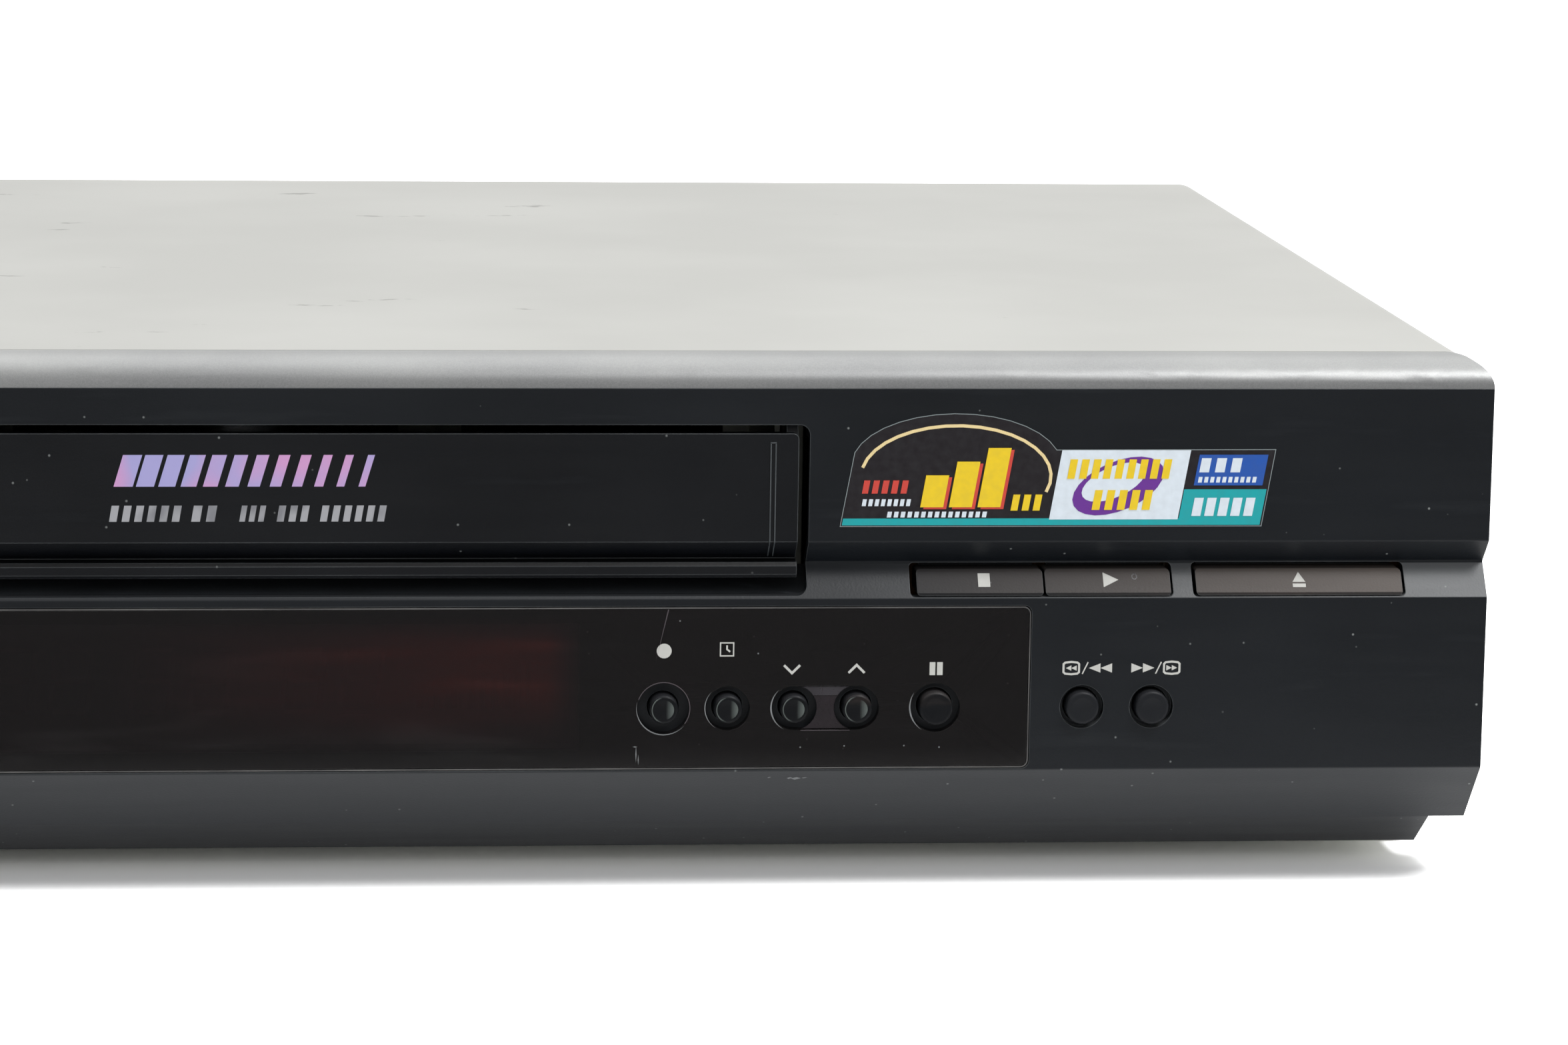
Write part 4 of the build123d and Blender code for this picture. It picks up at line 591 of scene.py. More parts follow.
def stroke(mesh, points, width, depth, closed=False, thickness=INK_THICKNESS):
    """A closed band of even width along a line of points across and up."""
    count = len(points)
    rails = []
    for i, point in enumerate(points):
        here = Vector(point)
        before = Vector(points[i - 1]) if closed or i > 0 else None
        after = Vector(points[(i + 1) % count]) if closed or i < count - 1 else None
        come = (here - before).normalized() if before is not None else (after - here).normalized()
        go = (after - here).normalized() if after is not None else come
        side = Vector((-(come + go).y, (come + go).x)).normalized()
        reach = width / 2 / max(0.3, side.dot(Vector((-go.y, go.x))))
        ring = []
        for offset, lift in ((reach, thickness), (-reach, thickness), (-reach, 0), (reach, 0)):
            spot = here + side * offset
            ring.append(mesh.verts.new(at(spot.x, depth(spot.y) - lift, spot.y)))
        rails.append(ring)
    for i in range(count if closed else count - 1):
        near, far = rails[i], rails[(i + 1) % count]
        for k in range(4):
            m = (k + 1) % 4
            mesh.faces.new((near[k], near[m], far[m], far[k]))
    if not closed:
        mesh.faces.new(rails[0][::-1])
        mesh.faces.new(rails[-1])


def settle(mesh, name, material, body):
    """Turns a finished bmesh into a piece that rides on a body."""
    bmesh.ops.recalc_face_normals(mesh, faces=mesh.faces)
    data = bpy.data.meshes.new(name)
    mesh.to_mesh(data)
    mesh.free()
    data.materials.append(material)
    piece = bpy.data.objects.new(name, data)
    bpy.context.scene.collection.objects.link(piece)
    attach(piece, body)
    return piece


def arc(middle, radius, start, end, steps):
    """Points along an arc, angles in degrees."""
    angles = [math.radians(start + (end - start) * i / steps) for i in range(steps + 1)]
    return [(middle[0] + radius * math.cos(a), middle[1] + radius * math.sin(a)) for a in angles]


print("helpers for marks ready")

# %% [markdown]
# ## Printing inks
# Pad-printing ink is a matt pigment film. The symbols are a pale warm grey. A vinyl label uses
# stronger inks under a thin clear film, so the label colours get a smoother surface.

# %% Inks
INK_PATCH = 1.5 * MM
THIN_INK = "#55585a"


def ink(name, colour, roughness):
    """A film of ink with a slightly uneven tone."""
    material, tree, shader, place = blank(name, roughness, ior=1.48)
    tones = (colour, THIN_INK)
    feed(shader, {"Base Color": patches(tree, place, INK_PATCH, 2.0, tones, 0.3, 0.7, most=0.1)[1]})
    return material


LABEL_COLOURS = {
    "dark": "#1b161b", "pale": "#dfe9f2", "blue": "#1f55ae", "teal": "#0fa6ab", "yellow": "#f2cf1c",
    "red": "#d4463a", "purple": "#6d2f98", "glow": "#f0d9a0", "edge": "#8a9496",
}
label_ink = {colour: ink("label_" + colour, tone, 0.3) for colour, tone in LABEL_COLOURS.items()}
symbol_ink = ink("symbol_ink", "#ccccc7", 0.6)
unlit_phosphor = ink("unlit_phosphor", "#5c2c22", 0.6)
print(len(label_ink) + 2, "inks done")

# %% [markdown]
# ## Symbols above the round keys
# A dot for record, a clock for the timer, chevrons for the channels, two bars for pause and
# pairs of triangles for winding: signs in common use on any such machine, and no words.
# They stand on the flat face or on the window, both of which lie at depth 0.

# %% Symbols on the face
ROW_LOW = 36.6
ROW_HIGH = 39.9
CHEVRON_LINE = 0.42
FINE_LINE = 0.22
SQUARE = 1.15
DOT_RADIUS = 1.3
ROUND = (0, 345, 23)
key_x = {}
for key in KEYS:
    left, right = drawn_box(key + "_button")[:2]
    key_x[key] = (left + right) / 2


def triangle(mesh, left, height, wide, rise, way):
    """A triangle from its left side, pointing right where way is 1 and left where it is -1."""
    base, tip = (left, left + wide) if way > 0 else (left + wide, left)
    filled(mesh, [(base, height - rise / 2), (tip, height), (base, height + rise / 2)], flat_face)


def winding_sign(mesh, way, pair, slash, screen, large=2.05, small=0.95):
    """Two triangles, a slash, and two small triangles in the outline of a screen."""
    for step in (0, 1):
        triangle(mesh, pair + step * large, ROW_LOW, large, 1.65, way)
        triangle(mesh, screen - small + step * small, ROW_LOW, small, small, way)
    stroke(mesh, [(slash - 0.5, ROW_LOW - 1.05), (slash + 0.5, ROW_LOW + 1.05)], FINE_LINE, flat_face)
    quarter = [(1.37, 0.72), (1.08, 0.98), (0, 1.1)]
    half = quarter + [(-x, z) for x, z in quarter[1::-1]]
    outline = half + [(-x, -z) for x, z in half]
    stroke(mesh, [(screen + x, ROW_LOW + z) for x, z in outline], 0.36, flat_face, closed=True)


marks = bmesh.new()
filled(marks, arc((key_x["record"], ROW_HIGH), DOT_RADIUS, *ROUND), flat_face)
clock_x, clock_z = key_x["timer"] - 0.25, ROW_HIGH + 0.25
square = [(clock_x + x * SQUARE, clock_z + z * SQUARE) for x, z in ((-1, -1), (1, -1), (1, 1), (-1, 1))]
stroke(marks, square, FINE_LINE, flat_face, closed=True)
hands = [(clock_x, clock_z + 0.7), (clock_x, clock_z), (clock_x + 0.55, clock_z - 0.42)]
stroke(marks, hands, 0.3, flat_face)
for x, rise in ((key_x["channel_down"] - 0.45, -0.7), (key_x["channel_up"] - 0.15, 0.7)):
    tips = [(x - 1.4, ROW_LOW - rise), (x, ROW_LOW + rise), (x + 1.4, ROW_LOW - rise)]
    stroke(marks, tips, CHEVRON_LINE, flat_face)
for x in (key_x["pause"] - 0.65, key_x["pause"] + 0.65):
    stroke(marks, [(x, ROW_LOW - 1.15), (x, ROW_LOW + 1.15)], 1.0, flat_face)
x = key_x["rewind"]
winding_sign(marks, -1, pair=x + 1.1, slash=x + 0.45, screen=x - 2.0)
x = key_x["fast_forward"]
winding_sign(marks, 1, pair=x - 3.7, slash=x + 1.1, screen=x + 3.45)
settle(marks, "printed_marks", symbol_ink, "case")
print("symbols on the face done")

# %% [markdown]
# ## Symbols on the bar keys
# Stop, play and eject carry their sign on the key itself, so each is a piece that moves with
# its key. The face of a bar key leans back, and the mark's depth follows that slope.

# %% Symbols on the bar keys
BAR_MARK = 51.9
BAR_FOOT = (0.5, 49.9)
BAR_LEAN = 4.5 / 5.7


def bar_face(height):
    """Depth of a bar key's leaning face at a height."""
    return BAR_FOOT[0] + (height - BAR_FOOT[1]) * BAR_LEAN


bar_signs = {
    "stop": [[(-0.3, -1.05), (1.8, -1.05), (1.8, 1.05), (-0.3, 1.05)]],
    "play": [[(-0.8, -1.15), (1.9, 0), (-0.8, 1.15)]],
    "eject": [
        [(-1.15, -0.4), (1.15, -0.4), (0, 1.15)],
        [(-1.15, -1.2), (1.15, -1.2), (1.15, -0.65), (-1.15, -0.65)],
    ],
}
for key, outlines in bar_signs.items():
    mesh = bmesh.new()
    for outline in outlines:
        filled(mesh, [(key_x[key] + x, BAR_MARK + z) for x, z in outline], bar_face)
    settle(mesh, key + "_mark", symbol_ink, key + "_button")
    print(key, "mark at", round(key_x[key], 1), "mm across")

# %% [markdown]
# ## Polished rim of the window
# The saw leaves the edge of a cut acrylic window with a small chamfer, which a polishing wheel
# rounds. The rim takes light from the room and shows as a thin pale line, most of all down the
# right-hand side; its pale grey colour is a painted highlight. It is one closed stroke with a
# rounded section, so it costs few faces.

# %% Window rim
RIM_WIDE = 0.24
RIM_PROUD = 0.08
WINDOW_CORNER = 1.2


def rounded_box(left, right, low, high, radius, steps=5):
    """An outline of a rectangle with round corners, counter-clockwise."""
    points = []
    for x, z, start in ((right, high, 0), (left, high, 90), (left, low, 180), (right, low, 270)):
        inward_x = math.copysign(radius, left + right - 2 * x)
        inward_z = math.copysign(radius, low + high - 2 * z)
        points += arc((x + inward_x, z + inward_z), radius, start, start + 90, steps)
    return points


def bevelled(piece, width, segments=3):
    """Rounds a piece's edges with a bevel modifier, width in millimetres."""
    bevel = piece.modifiers.new("rounded edges", "BEVEL")
    bevel.width = width * MM
    bevel.segments = segments
    bevel.limit_method = "ANGLE"
    piece.data.polygons.foreach_set("use_smooth", [True] * len(piece.data.polygons))
    piece.modifiers.new("flat faces stay flat", "WEIGHTED_NORMAL")
    return piece


# the rim's pale grey is a painted highlight
rim_highlight = finish("rim_highlight", "#4c4b4b", "#6d6c6b", 0.25, ior=ACRYLIC_IOR, patch=9)
rim = bmesh.new()
left, right, front, back, low, high = drawn_box("display_window")
inset = RIM_WIDE / 2
line = rounded_box(inset - right, right - inset, low + inset, high - inset, WINDOW_CORNER)
stroke(rim, line, RIM_WIDE, flat_face, closed=True, thickness=RIM_PROUD)
bevelled(settle(rim, "window_rim", rim_highlight, "case"), 0.06)
print("window rim", round(2 * (right - inset)), "mm wide")

# %% [markdown]
# ## Wear and painted highlights round the keys
# The edge of each well shows a pale sliver, mostly at the lower left: a painted highlight. Between
# the channel keys the long well is filled up by a bridge of tinted acrylic, with a bevel along its
# top painted paler as painted light. A dull line under the bridge and a dull arc round the record
# well are painted highlights as well. A long scratch, a few nicks and some dust are thin slivers
# too: wear this small would be lost in a noise pattern.
# thin slivers as well: wear this small would be lost in a noise pattern.

# %% Helpers for wear
WELL_MIDDLE = 29.7
CHAMFER_TOP = 18.5
CHAMFER_SLOPE = 11.2 / 11.5
BRIDGE_DEPTH = 0.4
BRIDGE_RADIUS = 4.0
BRIDGE_LOW, BEVEL_LOW, BRIDGE_HIGH = 25.95, 31.9, 33.45


def chamfer_face(height):
    """Depth of the chamfer between the flat face and the chin."""
    return (CHAMFER_TOP - height) * CHAMFER_SLOPE


def bridge_face(height):
    """Depth of the bridge, a little behind the window's face."""
    return BRIDGE_DEPTH


def sliver(mesh, key, radius, start, end, width, steps=16):
    """A painted highlight along a stretch of a well's round edge, widest half-way."""
    outline = arc((key_x[key], WELL_MIDDLE), radius + width, start, end, steps)
    for i in range(steps - 1, 0, -1):
        angle = math.radians(start + (end - start) * i / steps)
        reach = radius + width * (1 - math.sin(math.pi * i / steps))
        outline.append((key_x[key] + reach * math.cos(angle), WELL_MIDDLE + reach * math.sin(angle)))
    filled(mesh, outline, flat_face)


def between_wells(low, high, steps=8):
    """The outline between the two channel wells from one height up to another."""
    start, end = [math.degrees(math.asin((z - WELL_MIDDLE) / BRIDGE_RADIUS)) for z in (low, high)]
    near, far = [(key_x[key], WELL_MIDDLE) for key in ("channel_down", "channel_up")]
    outline = arc(near, BRIDGE_RADIUS, start, end, steps)
    return outline + arc(far, BRIDGE_RADIUS, 180 - end, 180 - start, steps)


# pale ink for the painted highlights on the wells, and for real nicks and dust
rubbed = ink("highlight_and_wear_ink", "#85888a", 0.35)
# dull ink for a real scratch and for painted highlights
dull_rub_and_highlight = ink("dull_rub_and_highlight", "#564e53", 0.35)
bridge_acrylic = finish("bridge_acrylic", "#1a1318", "#22191f", 0.3, ior=ACRYLIC_IOR, patch=5)
# the bevel's paler colour is painted light
painted_light_bevel = finish("painted_light_bevel", "#312e33", "#3a373c", 0.3, ior=ACRYLIC_IOR, patch=5)
print("wear helpers ready")

# %% Wear and painted highlights round the keys
# painted highlights on the wells' edges: radius, first and last angle, widest width
WELL_HIGHLIGHTS = {
    "record": (4.56, 165, 320, 0.2),
    "timer": (3.9, 135, 240, 0.16),
    "channel_down": (3.9, 130, 245, 0.26),
    "pause": (4.36, 145, 240, 0.26),
}
# each nick: across, height, half its width and half its rise
WINDOW_NICKS = ((65.5, 21.6, 0.1, 1.5), (65.9, 20.6, 0.08, 0.9), (65.3, 22.9, 0.4, 0.1))
CHAMFER_NICKS = (
    (92.6, 16.85, 0.5, 0.22), (93.7, 16.75, 0.9, 0.3), (95.2, 16.9, 0.5, 0.12), (89.0, 17.0, 0.3, 0.14)
)
DUST = ((112.4, 22.9), (118.6, 22.6), (94.2, 22.7), (101.9, 22.9), (86.6, 39.4), (72.9, 45.2))
DUST_RADIUS = 0.14
SCRATCH = [(70.98, 47.2), (70.8, 47.2), (68.8, 38.2)]

slivers = bmesh.new()
for key, rub in WELL_HIGHLIGHTS.items():
    sliver(slivers, key, *rub)
for x, z, wide, rise in WINDOW_NICKS:
    filled(slivers, [(x - wide, z), (x, z - rise), (x + wide, z), (x, z + rise)], flat_face)
for spot in DUST:
    filled(slivers, arc(spot, DUST_RADIUS, 0, 300, 5), flat_face)
settle(slivers, "well_highlights_and_wear", rubbed, "case")
scratches = bmesh.new()
filled(scratches, SCRATCH, flat_face)
# a dull arc round the record well and a dull line under the bridge are painted highlights
stroke(scratches, arc((key_x["record"], WELL_MIDDLE), 4.62, -36, 160, 24), 0.13, flat_face)
underline = [(key_x["channel_down"] + 1.2, 25.7), (key_x["channel_up"] - 1.2, 25.7)]
stroke(scratches, underline, 0.1, flat_face)
settle(scratches, "dull_scratches_and_highlights", dull_rub_and_highlight, "case")
nicks = bmesh.new()
for x, z, wide, rise in CHAMFER_NICKS:
    outline = [(x - wide, z), (x - 0.2, z - rise), (x + wide, z + 0.05), (x + 0.1, z + rise)]
    filled(nicks, outline, chamfer_face)
settle(nicks, "chamfer_nicks", rubbed, "case")
for name, material, low, high, thickness in (
    ("well_bridge", bridge_acrylic, BRIDGE_LOW, BEVEL_LOW, 0.1),
    ("well_bevel", painted_light_bevel, BEVEL_LOW, BRIDGE_HIGH, 0.2),
):
    mesh = bmesh.new()
    filled(mesh, between_wells(low, high), bridge_face, thickness)
    settle(mesh, name, material, "case")
# a dark ring paints the shade in the play key's small dimple
dimple = bmesh.new()
stroke(dimple, arc((152.7, 52.4), 0.42, 0, 330, 11), 0.2, bar_face, closed=True)
settle(dimple, "play_dimple_shade", label_ink["dark"], "play_button")
print("wear done")

# %% [markdown]
# ## The unlit display
# Behind the window is a vacuum display. Unlit, its phosphor segments are a dull red brown that
# barely shows through the tint. Each digit has seven bars; one loop lays them out.

# %% Display segments
TUBE_DEPTH = drawn_box("display_tube")[2]
DIGIT_PLACES = (-46, -36, -22, -12, 4, 14)
DIGIT_LOW = 28.5
DIGIT_TALL = 11.0
DIGIT_WIDE = 6.4
BAR_WIDE = 0.9
BAR_GAP = 0.5
LEAN = 0.12
METER = range(28, 50, 2)
METER_START, METER_LOW, METER_RISE = 24, 29, 0.35
METER_BAR = 1.2


def tube_face(height):
    """Depth of the display tube's front, the same at every height."""
    return TUBE_DEPTH


def digit(mesh, left, low):
    """Seven bars of a leaning figure eight."""
    half = DIGIT_TALL / 2
    bars = []
    for level in range(3):
        z = low + level * half
        bars.append([(left + BAR_GAP, z), (left + DIGIT_WIDE - BAR_GAP, z)])
    for x in (left, left + DIGIT_WIDE):
        for level in range(2):
            bars.append([(x, low + level * half + BAR_GAP), (x, low + (level + 1) * half - BAR_GAP)])
    for bar in bars:
        stroke(mesh, [(x + LEAN * (z - low), z) for x, z in bar], BAR_WIDE, tube_face)


segments = bmesh.new()
for left in DIGIT_PLACES:
    digit(segments, left, DIGIT_LOW)
for x in METER:
    high = METER_LOW + METER_RISE * (x - METER_START)
    stroke(segments, [(x, METER_LOW), (x, high)], METER_BAR, tube_face)
settle(segments, "display_segments", unlit_phosphor, "case")
print("display at depth", round(TUBE_DEPTH, 1), "mm")

# %% [markdown]
# ## Label on the front
# A vinyl label is a printed film of about 0.1 mm, cut to shape: here with a domed left part.
# Its design is plain and says nothing: a dark field with an arc and rising bars, a pale field
# with a leaf, a blue block, a teal block and a teal band, each with rows of slanted ticks.
# Every colour is a layer of ink, so each layer stands one ink thickness prouder than the last.
# Typed lettering could fill the fields, but ticks keep the rhythm of print without any words.

# %% Helpers for the label
LABEL_LEFT, LABEL_RIGHT, LABEL_LOW, LABEL_HIGH = 100.5, 174.4, 61.8, 75.3
SLANT = 0.17


def slanted(left, right, low, high, slant=SLANT):
    """A parallelogram that leans to the right."""
    lean = slant * (high - low)
    return [(left, low), (right, low), (right + lean, high), (left + lean, high)]


def ticks(left, right, low, high, count, filling=0.62):
    """A row of slanted ticks, each filling this share of its step."""
    step = (right - left) / count
    return [slanted(left + i * step, left + (i + filling) * step, low, high) for i in range(count)]


def oval(middle, reach, span=ROUND, tilt=0.0):
    """Points round an oval, from its middle, its reach each way and its tilt."""
    unit = arc((0, 0), 1, *span)
    return [(middle[0] + reach[0] * x, middle[1] + reach[1] * z + tilt * x) for x, z in unit]


def print_layer(name, colour, layer, outlines=(), lines=()):
    """One colour of the label, its front this many ink layers proud."""
    mesh = bmesh.new()
    thickness = INK_THICKNESS * (layer + 1)
    for outline in outlines:
        filled(mesh, outline, flat_face, thickness)
    for points, width, closed in lines:
        stroke(mesh, points, width, flat_face, closed, thickness)
    return settle(mesh, name, label_ink[colour], "case")


print("label helpers ready")

# %% Label
PANEL_LEFT, PANEL_RIGHT = 137, 159.6
BAND_HIGH = LABEL_LOW + 1.4
BLOCK_LOW = LABEL_LOW + 0.2
dome = oval((120.6, 72.6), (18.3, 9.0), (17, 166, 14))
bow = oval((120.6, 70.6), (16.6, 8.9), (-18, 170, 18))
film = [(LABEL_LEFT, LABEL_LOW), (LABEL_RIGHT, LABEL_LOW), (LABEL_RIGHT + 2.2, LABEL_HIGH), *dome]
rising = [slanted(114.4 + 5.0 * i, 118.4 + 5.0 * i, 65.2, 70.8 + 2.4 * i) for i in range(3)]
shadows = [[(x + 0.55, z - 0.35) for x, z in outline] for outline in rising]
band = slanted(LABEL_LEFT + 0.3, PANEL_RIGHT, BLOCK_LOW, BAND_HIGH)
teal_block = slanted(PANEL_RIGHT, LABEL_RIGHT - 0.3, BLOCK_LOW, 68.3)
panel = slanted(PANEL_LEFT, PANEL_RIGHT, LABEL_LOW + 1.2, LABEL_HIGH - 0.1)
# each row of ticks: left, right, low, high and how many
RED_TICKS = ((104.2, 112.6, 67.6, 69.9, 5),)
YELLOW_TICKS = ((130.2, 136, 64.6, 67.4, 3), (140, 158.6, 70.2, 73.6, 9), (144.4, 155.4, 64.7, 68.2, 5))
WHITE_TICKS = (
    (104.2, 113, 65.4, 66.6, 8), (108.6, 126.4, 63.4, 64.4, 15), (163.2, 171.4, 71.3, 73.8, 3),
    (163, 173.6, 69.5, 70.5, 10), (162, 173.4, 63.6, 66.8, 5, 0.7),
)
reds, yellows, whites = [
    [outline for row in rows for outline in ticks(*row)] for rows in (RED_TICKS, YELLOW_TICKS, WHITE_TICKS)
]
print_layer("label_film", "dark", 0, [film])
print_layer("label_edge", "edge", 1, lines=[(film, 0.12, True)])
print_layer("label_bow", "glow", 1, lines=[(bow, 0.55, False)])
print_layer("label_band", "teal", 1, [band, teal_block])
print_layer("label_panel", "pale", 2, [panel])
print_layer("label_block", "blue", 2, [slanted(162.3, 174.4, 69, 74.4)])
print_layer("label_leaf", "purple", 3, [oval((149, 68.9), (8, 4.6), tilt=2.4)])
print_layer("label_leaf_middle", "pale", 4, [oval((148.2, 69.6), (5.6, 2.9), tilt=1.9)])
print_layer("label_shadow", "red", 2, shadows + reds)
print_layer("label_yellow", "yellow", 5, rising + yellows)
print_layer("label_white", "pale", 3, whites)
print("label", round(LABEL_RIGHT - LABEL_LEFT), "mm wide")

# %% [markdown]
# ## Rib and print on the flap
# A narrow raised rib runs down the right-hand end of the flap, its two edges and its top drawn
# as thin pale grey lines. The print is hot-stamped foil: a row of slanted bars in a lilac foil
# that turns to pink, and a smaller silver row under it. Both ride on the flap, so they swing
# inwards with it when a cassette goes in.

# %% Stamped foil
CREASE_SIZE = 0.5 * MM
CREASE_DEPTH = 0.005 * MM


def stamped_foil(name, cool, warm, span, roughness):
    """Hot-stamping foil that shifts from one colour to the other over a span of millimetres."""
    material, tree, shader, place = blank(name, roughness, metallic=0.3)
    colour = patches(tree, place, span * MM, 1.0, (cool, warm), 0.42, 0.58)[1]
    fine = add(tree, "TexNoise", {"Vector": place, "Scale": 1 / CREASE_SIZE, "Detail": 2.0})
    creased = add(tree, "Bump", {"Height": fine, "Distance": CREASE_DEPTH})
    feed(shader, {"Base Color": colour, "Normal": creased})
    return material


lilac_foil = stamped_foil("lilac_foil", "#b9b4ea", "#e2a9dd", 14, 0.35)
silver_foil = stamped_foil("silver_foil", "#8f9096", "#b4b5ba", 6, 0.35)
print("two foils ready")

# %% Flap details
FLAP_LEDGE = 59.1
FLAP_LEAN = 3.8 / 3.5
RIB_TOP, RIB_FOOT = 76.5, 56.0
RIB_LINE, RIB_PROUD = 0.2, 0.14
FOIL_LEFT, FOIL_RIGHT = -24.6, 21.0
FOIL_LOW, FOIL_HIGH = 68.9, 74.4
FOIL_BARS = 12
FOIL_FILLING, FOIL_THINNING = 0.86, 0.05
FOIL_SLANT = 0.3
# each group of the smaller row: left, right and how many
FOIL_GROUPS = ((-25.4, -12.6, 6), (-11.4, -6.4, 2), (-3.2, 1.6, 3), (3.2, 9.2, 3), (10.6, 22.4, 6))
SMALL_LOW, SMALL_HIGH = 62.8, 65.6


def flap_face(height):
    """Depth of the flap's front: flat above the ledge, leaning back below it."""
    return max(0.0, (FLAP_LEDGE - height) * FLAP_LEAN)


rib = bmesh.new()
rib_lines = [[(x, RIB_TOP), (x, FLAP_LEDGE), (x, RIB_FOOT)] for x in (88.3, 89.15)]
for line in rib_lines + [[(88.2, RIB_TOP), (89.25, RIB_TOP)]]:
    stroke(rib, line, RIB_LINE, flap_face, thickness=RIB_PROUD)
settle(rib, "flap_rib", rib_abs, "flap")
bars = bmesh.new()
step = (FOIL_RIGHT - FOIL_LEFT) / FOIL_BARS
for i in range(FOIL_BARS):
    start = FOIL_LEFT + i * step
    end = start + step * (FOIL_FILLING - FOIL_THINNING * i)
    filled(bars, slanted(start, end, FOIL_LOW, FOIL_HIGH, FOIL_SLANT), flap_face)
settle(bars, "flap_bars", lilac_foil, "flap")
small = bmesh.new()
for start, end, count in FOIL_GROUPS:
    for outline in ticks(start, end, SMALL_LOW, SMALL_HIGH, count, 0.6):
        filled(small, outline, flap_face)
settle(small, "flap_ticks", silver_foil, "flap")
print("rib and print on the flap")

# %% [markdown]
# ## Sockets, contacts and pins
# A phono socket is a nickel ring round a coloured insulator with a hole for the plug's pin:
# yellow for the picture, white and red for the two sound channels. A 21-pin socket shows two
# rows of sprung blades on its tongue. The mains inlet has two plated pins. Round parts are
# turned: a profile of radius and depth goes once round an axis that runs front to back.

# %% Helpers for sockets
def lathed(mesh, across, height, profile, steps=32):
    """A closed solid, from a closed profile of (radius, depth) turned round a front-to-back axis."""
    rings = []
    for step in range(steps):
        angle = 2 * math.pi * step / steps
        spots = [(across + r * math.cos(angle), d, height + r * math.sin(angle)) for r, d in profile]
        rings.append([mesh.verts.new(at(*spot)) for spot in spots])
    for i, ring in enumerate(rings):
        other = rings[(i + 1) % steps]
        for k in range(len(profile)):
            m = (k + 1) % len(profile)
            mesh.faces.new((ring[k], ring[m], other[m], other[k]))


def block(mesh, left, right, front, back, low, high):
    """A closed box, from its six sides in drawing millimetres."""
    corners = [(x, d, z) for x in (left, right) for d in (front, back) for z in (low, high)]
    verts = [mesh.verts.new(at(*corner)) for corner in corners]
    for face in ((0, 1, 3, 2), (4, 6, 7, 5), (0, 4, 5, 1), (2, 3, 7, 6), (0, 2, 6, 4), (1, 5, 7, 3)):
        mesh.faces.new([verts[i] for i in face])


INSULATOR_RADIUS = 2.97
PIN_HOLE = 1.7


def insulator(name, material, across, height, start, end):
    """The coloured sleeve of a phono socket, from one depth to another."""
    mesh = bmesh.new()
    sides = ((INSULATOR_RADIUS, start), (PIN_HOLE, start), (PIN_HOLE, end), (INSULATOR_RADIUS, end))
    lathed(mesh, across, height, sides)
    settle(mesh, name + "_insulator", material, "case")


yellow_pbt = finish("yellow_pbt", "#c9a412", "#d8b41c", 0.4, patch=3)
white_pbt = finish("white_pbt", "#c4c3bd", "#d2d1cb", 0.4, patch=3)
red_pbt = finish("red_pbt", "#a3201c", "#b52a22", 0.4, patch=3)
print("socket helpers ready")

# %% Socket details
SOCKET_PITCH = 16.0
SOCKET_EDGE = 6.0
SLEEVE_SET = 1.2
FRONT_SLEEVE, REAR_SLEEVE = 8.5, 8
AUDIO_DROP = 7.0
SCART_SPACE = 4.0
CONTACTS = 10
CONTACT_START = 7.5
TONGUE_DROP = 7.5
CONTACT_ROWS = (2.05, -2.15)
INLET_PITCH = 8.6
INLET_DROP = 10.5
# a pin with a rounded tip: radius, and how far inside the back
PIN = ((0.001, 1.9), (1.0, 1.9), (1.25, 2.3), (1.25, 12.9), (0.001, 12.9))

left, right, front, back, low, high = drawn_box("front_av_sockets")
middle, level = (left + right) / 2, (low + high) / 2
insulator("front_picture", yellow_pbt, middle - SOCKET_PITCH, level, front + SLEEVE_SET, FRONT_SLEEVE)
insulator("front_left", white_pbt, middle, level, front + SLEEVE_SET, FRONT_SLEEVE)
insulator("front_right", red_pbt, middle + SOCKET_PITCH, level, front + SLEEVE_SET, FRONT_SLEEVE)
left, right, front, back, low, high = drawn_box("audio_sockets")
level = high - AUDIO_DROP
start, end = back - SLEEVE_SET, back - REAR_SLEEVE
insulator("rear_left", white_pbt, left + SOCKET_EDGE, level, start, end)
insulator("rear_right", red_pbt, right - SOCKET_EDGE, level, start, end)
left, right, front, back, low, high = drawn_box("scart_sockets")
scart_wide = (right - left - SCART_SPACE) / 2
blades = bmesh.new()
for start in (left, right - scart_wide):
    for i in range(CONTACTS):
        x = start + CONTACT_START + i * (scart_wide - 2 * CONTACT_START) / (CONTACTS - 1)
        for row in CONTACT_ROWS:
            z = high - TONGUE_DROP + row
            block(blades, x - 0.9, x + 0.9, back - 11, back - 3.6, z - 0.05, z + 0.15)
settle(blades, "scart_blades", nickel, "case")
left, right, front, back, low, high = drawn_box("mains_inlet")
pins = bmesh.new()
for side in (-0.5, 0.5):
    x = (left + right) / 2 + side * INLET_PITCH
    lathed(pins, x, high - INLET_DROP, [(radius, back - depth) for radius, depth in PIN])
settle(pins, "inlet_pins", nickel, "case")
print("sockets done")

# %% [markdown]
# ## Inner sheets
# Behind the sill of the cassette slot a tray closes the deck from view, and a small black cheek
# closes each front corner of the chassis behind the skirt. Behind the rear cooling slots, and round
# the 21-pin sockets, black sheets line the rear panel, so nobody looks straight through the machine
# from slot to slot. All of them are put in as shade: they stop light leaking in and hide pale pieces.

# %% Inner sheets
SKIRT_HALF = 208.6
# front, back, low and high
CHEEK = (22.2, 36.8, 2.4, 19.0)
TRAY = (3.0, 33.0, 48.3, 49.1)
# the paper's two faces, the sheet behind the cooling slots, and the sheets round the sockets
PAPER = (272.9, 273.3)
BEHIND_SLOTS = (-135, -25, 44, 80)
PAPER_LOW, PAPER_OVER = 18, 4

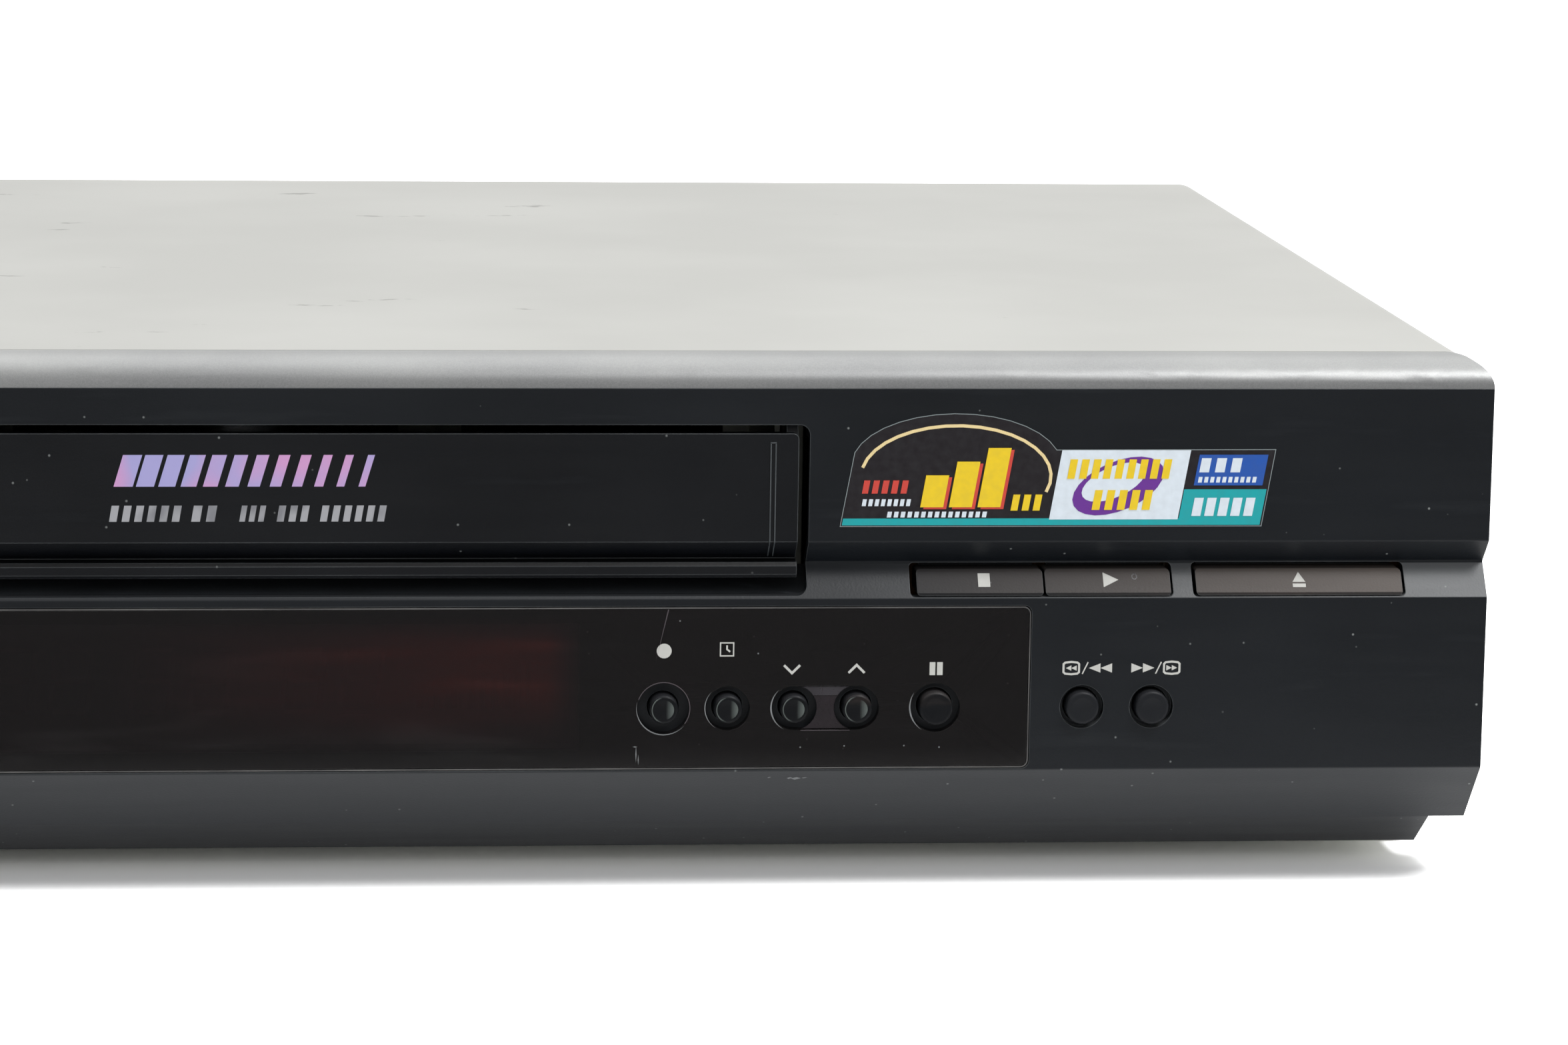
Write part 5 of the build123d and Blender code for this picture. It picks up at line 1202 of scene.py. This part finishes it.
# a grey tray put in the slot so that the lit deck behind it does not show
grey_tray_abs = finish("grey_tray_abs", "#5b6067", "#6a7078", 0.6, ior=ABS_IOR, patch=12)
tray = bmesh.new()
left, right = drawn_box("cassette_flap")[:2]
block(tray, left + 1, right - 1, *TRAY)
settle(tray, "slot_tray", grey_tray_abs, "case")
cheeks = bmesh.new()
for side in (-1, 1):
    block(cheeks, *sorted((side * SKIRT_HALF, side * (SKIRT_HALF - 0.8))), *CHEEK)
settle(cheeks, "skirt_cheeks", black_nylon, "case")
# black sheets put in as shade, so light does not leak through the gaps
paper = bmesh.new()
left, right, front, back, low, high = drawn_box("scart_sockets")
sheets = [BEHIND_SLOTS, (left - 5, right + PAPER_OVER, high, high + PAPER_OVER)]
for start, end in ((left - 5, left), (left + scart_wide, right - scart_wide), (right, right + PAPER_OVER)):
    sheets.append((start, end, PAPER_LOW, high))
for start, end, low, high in sheets:
    block(paper, start, end, *PAPER, low, high)
settle(paper, "shading_paper", chip_epoxy, "case")
print("inner sheets done")

# %% [markdown]
# ## Floor and background
# The machine stands on a large pale floor. A white floor that only just clips to white in the
# picture loses its shadow, so the floor is painted brighter for what the camera sees directly,
# and stays an ordinary 82 % white for the light that it returns to the machine. Where the lamps
# no longer reach, the visible floor is brighter still, so that it stays white.
# In a mirror the white sheet ends a hand's breadth in front of the machine, where the dim room
# begins: a black front only looks black while it has something dark to reflect.

# %% Floor
FLOOR_HALF = 7.0
FLOOR_NEAR, FLOOR_FAR = -4.0, 10.0
FLOOR_DROP = 0.0002
FLOOR_WHITE = 0.82
SHEET_WHITE = 1.3
SHEET_END = -0.26
DIM_ROOM = 0.25


def direct_rays(tree):
    """The kinds of ray, and 1 for all that show the background itself rather than its light."""
    rays = add(tree, "LightPath").outputs
    direct = rays["Is Camera Ray"]
    for kind in ("Is Glossy Ray", "Is Transmission Ray"):
        direct = add(tree, "Math", {0: direct, 1: rays[kind]}, operation="MAXIMUM")
    return rays, direct


floor_mesh = bpy.data.meshes.new("floor")
corners = ((-1, FLOOR_NEAR), (1, FLOOR_NEAR), (1, FLOOR_FAR), (-1, FLOOR_FAR))
sheet = [(x * FLOOR_HALF, y, cad_low.z - FLOOR_DROP) for x, y in corners]
floor_mesh.from_pydata(sheet, [], [(0, 1, 2, 3)])
floor = bpy.data.objects.new("floor", floor_mesh)
bpy.context.scene.collection.objects.link(floor)
floor_paint = bpy.data.materials.new("floor_paint")
floor_paint.use_nodes = True
tree = floor_paint.node_tree
tree.nodes.clear()
rays, direct = direct_rays(tree)
here = add(tree, "NewGeometry").outputs["Position"]
away = add(tree, "VectorMath", {0: here}, operation="LENGTH").outputs["Value"]
visible_range = {"From Min": 0.6, "From Max": 4.0, "To Min": 2.2, "To Max": 4.8}
visible = add(tree, "MapRange", {"Value": away, **visible_range})
depth = add(tree, "SeparateXYZ", {"Vector": here}).outputs["Y"]
sheet_range = {"From Min": SHEET_END, "From Max": SHEET_END + 0.1, "To Min": DIM_ROOM, "To Max": SHEET_WHITE}
mirrored = add(tree, "MapRange", {"Value": depth, **sheet_range})
shown = add(tree, "Mix", {0: rays["Is Glossy Ray"], 2: visible, 3: mirrored})
shade = add(tree, "Mix", {0: direct, 2: FLOOR_WHITE, 3: shown})
paint = add(tree, "BsdfDiffuse", {"Color": shade})
add(tree, "OutputMaterial", {"Surface": paint})
floor_mesh.materials.append(floor_paint)
print("floor", 2 * FLOOR_HALF, "m wide")

# %% [markdown]
# ## World and lamps
# A product shot is lit evenly and softly. One large lamp hangs over the back of the machine, a
# smaller and stronger one stands for a window at the right, and a wide weak one fills the front.
# The world shows white behind the machine, gives a plain level of light from all round, and is
# dim in front where a mirror would see the photographer's side of the room. An image of a studio
# could do this too, but lamps can be moved one at a time.

# %% World and lamps
WORLD_LIGHT = 0.45

world = bpy.data.worlds.new("studio")
world.use_nodes = True
bpy.context.scene.world = world
tree = world.node_tree
tree.nodes.clear()
rays, direct = direct_rays(tree)
facing = add(tree, "SeparateXYZ", {"Vector": add(tree, "TexCoord").outputs["Generated"]})
room_range = {"From Min": -0.6, "From Max": 0.0, "To Min": DIM_ROOM, "To Max": 1.0}
room = add(tree, "MapRange", {"Value": facing.outputs["Y"], **room_range})
shown = add(tree, "Mix", {0: rays["Is Glossy Ray"], 2: 1.0, 3: room})
strength = add(tree, "Mix", {0: direct, 2: WORLD_LIGHT, 3: shown})
sky = add(tree, "Background", {"Color": "#ffffff", "Strength": strength})
add(tree, "OutputWorld", {"Surface": sky})

# each lamp: its place, what it aims at, its size in metres and its power in watts
LAMPS = {
    "overhead": ((0.0, 0.5, 1.6), (0.0, 0.0, 0.0), 1.6, 9.0),
    "right_window": ((0.68, -0.68, 1.25), (0.1, -0.1, 0.05), 0.42, 12.0),
    "front_fill": ((-0.5, -1.9, 0.7), (0.0, 0.0, 0.05), 1.2, 5.0),
}
for name, (place, aim, size, power) in LAMPS.items():
    lamp = bpy.data.objects.new(name, bpy.data.lights.new(name, "AREA"))
    lamp.data.size = size
    lamp.data.energy = power
    lamp.location = place
    lamp.rotation_mode = "QUATERNION"
    lamp.rotation_quaternion = (Vector(aim) - Vector(place)).to_track_quat("-Z", "Y")
    bpy.context.scene.collection.objects.link(lamp)
bpy.context.scene.view_settings.view_transform = "Standard"
print("lit by", len(LAMPS), "lamps and the world")
